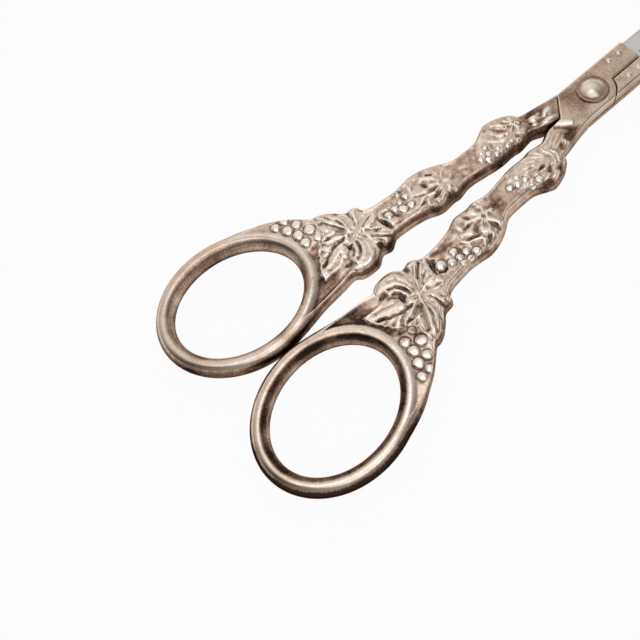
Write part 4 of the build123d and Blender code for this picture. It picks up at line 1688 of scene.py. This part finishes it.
@dataclass(frozen=True)
class GroundMetal:
    """Ground or polished metal with fine lines, for the blades and for the pivot."""

    name: str
    colour: Colour
    shade: Colour
    roughness: float
    line_scale: Triple
    line_noise: Triple = (1.0, 4.0, 0.65)
    line_roughness: float = 0.18
    line_bump: Pair = (0.25, 0.00004)
    smudge_noise: Triple = (190.0, 4.0, 0.6)
    smudge_stops: Pair = (0.35, 0.65)

    def make(self) -> bpy.types.Material:
        """Colour by smudges between the shade and the colour, roughness and bump by stretched noise.

        Returns:
            The material.
        """
        graph = NodeGraph.start(bpy.data.materials.new(self.name))
        place = graph.node("ShaderNodeTexCoord").outputs["Object"]
        stretched = graph.node("ShaderNodeMapping", Vector=place, Scale=self.line_scale).outputs[0]
        lines, smudge = graph.noise(stretched, *self.line_noise), graph.noise(place, *self.smudge_noise)
        colour = graph.ramp(smudge, tuple(zip(self.smudge_stops, (self.shade, self.colour))))
        uneven = graph.math("MULTIPLY", lines, self.line_roughness)
        rough = graph.math("ADD", uneven, self.roughness - self.line_roughness / 2)
        shader = graph.node("ShaderNodeBsdfPrincipled", Base_Color=colour, Metallic=1.0, Roughness=rough,
                            Normal=graph.bump(lines, *self.line_bump))
        return graph.finish(shader.outputs[0])


@dataclass
class FramePieces:
    """The frame's own nodes that stay in view, each with its finish."""

    pivot: bpy.types.Material
    steel: bpy.types.Material

    def dress(self) -> None:
        """Give each remaining node its material."""
        finishes = {"right_blade": self.steel, "left_blade": self.steel, "pivot_nut": self.pivot}
        for half in Half:
            for number in (1, 2):
                finishes[f"{half.label}_blade_rivet_{number}"] = self.pivot
        for name, material in finishes.items():
            piece = frame["nodes"][name]
            piece.data.materials.clear()
            piece.data.materials.append(material)
            log.info("%s: dressed in %s", name, material.name)


@dataclass(frozen=True)
class Glow:
    """A broad soft glow: its direction, the degrees off it where it is full and gone, and its strength."""

    centre: Triple
    full: float
    gone: float
    strength: float


@dataclass
class Studio:
    """Pale floor, soft lamp, pale surroundings and the camera."""

    eye: Triple = (80.5, -114.2, 178.8)
    yaw: float = math.radians(71.89)
    elevation: float = math.radians(64.40)
    roll: float = math.radians(-23.68)
    focal_pixels: float = 850.0
    picture_pixels: float = 640.0
    sensor: float = 36.0
    floor_half: float = 4.0
    floor_level: float = -0.00002
    floor_colour: tuple[float, float, float, float] = (0.88, 0.88, 0.88, 1.0)
    floor_white: float = 0.96
    lamp_size: Pair = (1.25, 0.72)
    lamp_distance: float = 1.0
    lamp_tilt: Pair = (13.0, -3.0)
    lamp_power: float = 2.9
    room_colour: tuple[float, float, float, float] = (1.0, 0.985, 0.965, 1.0)
    horizon: Pair = (0.04, 0.42)
    horizon_strength: Pair = (1.0, 0.06)
    glows: tuple[Glow, ...] = (
        Glow((-0.42, 0.42, 0.80), 8.0, 50.0, 0.34),
        Glow((-0.66, 0.10, 0.74), 12.0, 55.0, 0.34),
        Glow((-0.95, 0.0, 0.30), 15.0, 65.0, 0.27),
        Glow((0.0, 0.90, 0.40), 10.0, 60.0, 0.2),
        Glow((0.85, -0.30, 0.45), 15.0, 70.0, 0.28),
    )

    def in_frame(self, point: Triple) -> Vector:
        """A point about the pivot, put into the frame in metres."""
        return Vector([(value + start) * MILLIMETRE for value, start in zip(point, PIVOT)])

    def camera(self) -> None:
        """Camera at the photograph's viewing angle: yaw, then tilt down, then roll."""
        right = Vector((math.cos(self.yaw), math.sin(self.yaw), 0.0))
        forward = Vector((-math.sin(self.yaw), math.cos(self.yaw), 0.0)) * math.cos(self.elevation)
        forward += Vector((0.0, 0.0, -math.sin(self.elevation)))
        up = right.cross(forward)
        across = math.cos(self.roll) * right + math.sin(self.roll) * up
        upright = -math.sin(self.roll) * right + math.cos(self.roll) * up
        lens = bpy.data.cameras.new("camera")
        lens.sensor_width = self.sensor
        lens.lens = self.focal_pixels / self.picture_pixels * self.sensor
        lens.clip_start, lens.clip_end = 0.01, 50.0
        camera = bpy.data.objects.new("camera", lens)
        turn = Matrix((across, upright, -forward)).transposed().to_4x4()
        camera.matrix_world = Matrix.Translation(self.in_frame(self.eye)) @ turn
        bpy.context.scene.collection.objects.link(camera)
        bpy.context.scene.camera = camera

    def floor(self) -> None:
        """Pale floor that is white to the camera and in reflections, and still takes the shadow."""
        graph = NodeGraph.start(bpy.data.materials.new("pale_floor"))
        path = graph.node("ShaderNodeLightPath")
        seen = graph.math("MAXIMUM", path.outputs["Is Camera Ray"], path.outputs["Is Glossy Ray"])
        seen = graph.math("MAXIMUM", seen, path.outputs["Is Transmission Ray"])
        paper = graph.node("ShaderNodeBsdfDiffuse", Color=self.floor_colour)
        white = graph.node("ShaderNodeEmission", Color=(1.0, 1.0, 1.0, 1.0), Strength=1.0)
        mix = graph.node("ShaderNodeMixShader", Fac=graph.math("MULTIPLY", seen, self.floor_white))
        graph.put(paper.outputs[0], mix.inputs[1])
        graph.put(white.outputs[0], mix.inputs[2])
        material = graph.finish(mix.outputs[0])
        size, level = self.floor_half, self.floor_level
        corners = [(-size, -size, level), (size, -size, level), (size, size, level), (-size, size, level)]
        mesh = bpy.data.meshes.new("floor")
        mesh.from_pydata(corners, [], [(0, 1, 2, 3)])
        mesh.materials.append(material)
        floor = bpy.data.objects.new("floor", mesh)
        bpy.context.scene.collection.objects.link(floor)

    def surroundings(self) -> None:
        """Surroundings: pale round the horizon, dim above, with glows of the room's walls and ceiling."""
        graph = NodeGraph.start(bpy.data.worlds.new("studio"))
        direction = graph.node("ShaderNodeTexCoord").outputs["Generated"]
        height = graph.node("ShaderNodeSeparateXYZ", Vector=direction).outputs["Z"]
        total = self.between(graph, height, self.horizon, self.horizon_strength)
        for glow in self.glows:
            dot = graph.node("ShaderNodeVectorMath", operation="DOT_PRODUCT")
            graph.put(direction, dot.inputs[0])
            graph.put(Vector(glow.centre).normalized(), dot.inputs[1])
            reach = (math.cos(math.radians(glow.full)), math.cos(math.radians(glow.gone)))
            lit = self.between(graph, dot.outputs["Value"], reach, (glow.strength, 0.0))
            total = graph.math("ADD", total, lit)
        room = graph.node("ShaderNodeBackground", Color=self.room_colour, Strength=total)
        bpy.context.scene.world = graph.finish(room.outputs[0], "ShaderNodeOutputWorld")

    @staticmethod
    def between(graph: NodeGraph, value: bpy.types.NodeSocket, reach: Pair,
                results: Pair) -> bpy.types.NodeSocket:
        """Smooth passage from one result to the other as a socket's value goes along its reach.

        Args:
            graph: the nodes it is made in.
            value: the socket.
            reach: values where the passage starts and ends, in either order.
            results: numbers given at its start and its end.

        Returns:
            The socket with the result.
        """
        (low, first), (high, last) = sorted(zip(reach, results))
        made = graph.node("ShaderNodeMapRange", interpolation_type="SMOOTHSTEP", Value=value, From_Min=low,
                          From_Max=high, To_Min=first, To_Max=last)
        return made.outputs["Result"]

    def softbox(self) -> None:
        """Wide soft lamp above the object, its long side along x, facing back along its own direction."""
        data = bpy.data.lights.new("softbox", "AREA")
        data.shape, data.energy = "RECTANGLE", self.lamp_power
        data.size, data.size_y = self.lamp_size
        lamp = bpy.data.objects.new("softbox", data)
        away = Vector((*(math.tan(math.radians(tilt)) for tilt in self.lamp_tilt), 1.0)).normalized()
        across = (Vector((1.0, 0.0, 0.0)) - away * away.x).normalized()
        turn = Matrix((across, away.cross(across), away)).transposed().to_4x4()
        lamp.matrix_world = Matrix.Translation(away * self.lamp_distance) @ turn
        bpy.context.scene.collection.objects.link(lamp)

    def build(self) -> None:
        """The whole studio."""
        self.floor()
        self.surroundings()
        self.softbox()
        self.camera()
        bpy.context.scene.view_settings.view_transform = "Standard"


def main() -> None:
    """Build the studio and both halves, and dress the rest."""
    logging.basicConfig(level=logging.INFO, format="%(name)s: %(message)s")
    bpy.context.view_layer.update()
    silver = TarnishedSilver().make()
    pivot = GroundMetal(
        "polished_plate", colour=(0.80, 0.73, 0.67), shade=(0.52, 0.44, 0.39), roughness=0.24,
        line_scale=(700.0, 900.0, 900.0),
    ).make()
    steel = GroundMetal(
        "ground_steel", colour=(0.66, 0.65, 0.64), shade=(0.50, 0.49, 0.48), roughness=0.30,
        line_scale=(2500.0, 90.0, 2500.0),
    ).make()
    bow = FingerBow()
    for half in Half:
        ornament = [*upper_knot_features(half), *middle_knot_features(half), *bow_end_features(half)]
        # Tarnish of the web and height of its file lines: the right web is the darker and the smoother.
        web_tarnish, web_lines = half.pick((0.70, 0.012), (0.60, 0.02))
        relief = VineRelief(ornament, bow, stains_and_shading_of(half), web_tarnish, web_lines)
        CastHandle(half, bow, relief).build(silver)
    PivotJoint().build(silver)
    FramePieces(pivot, steel).dress()
    Studio().build()


if __name__ == "__main__":
    main()
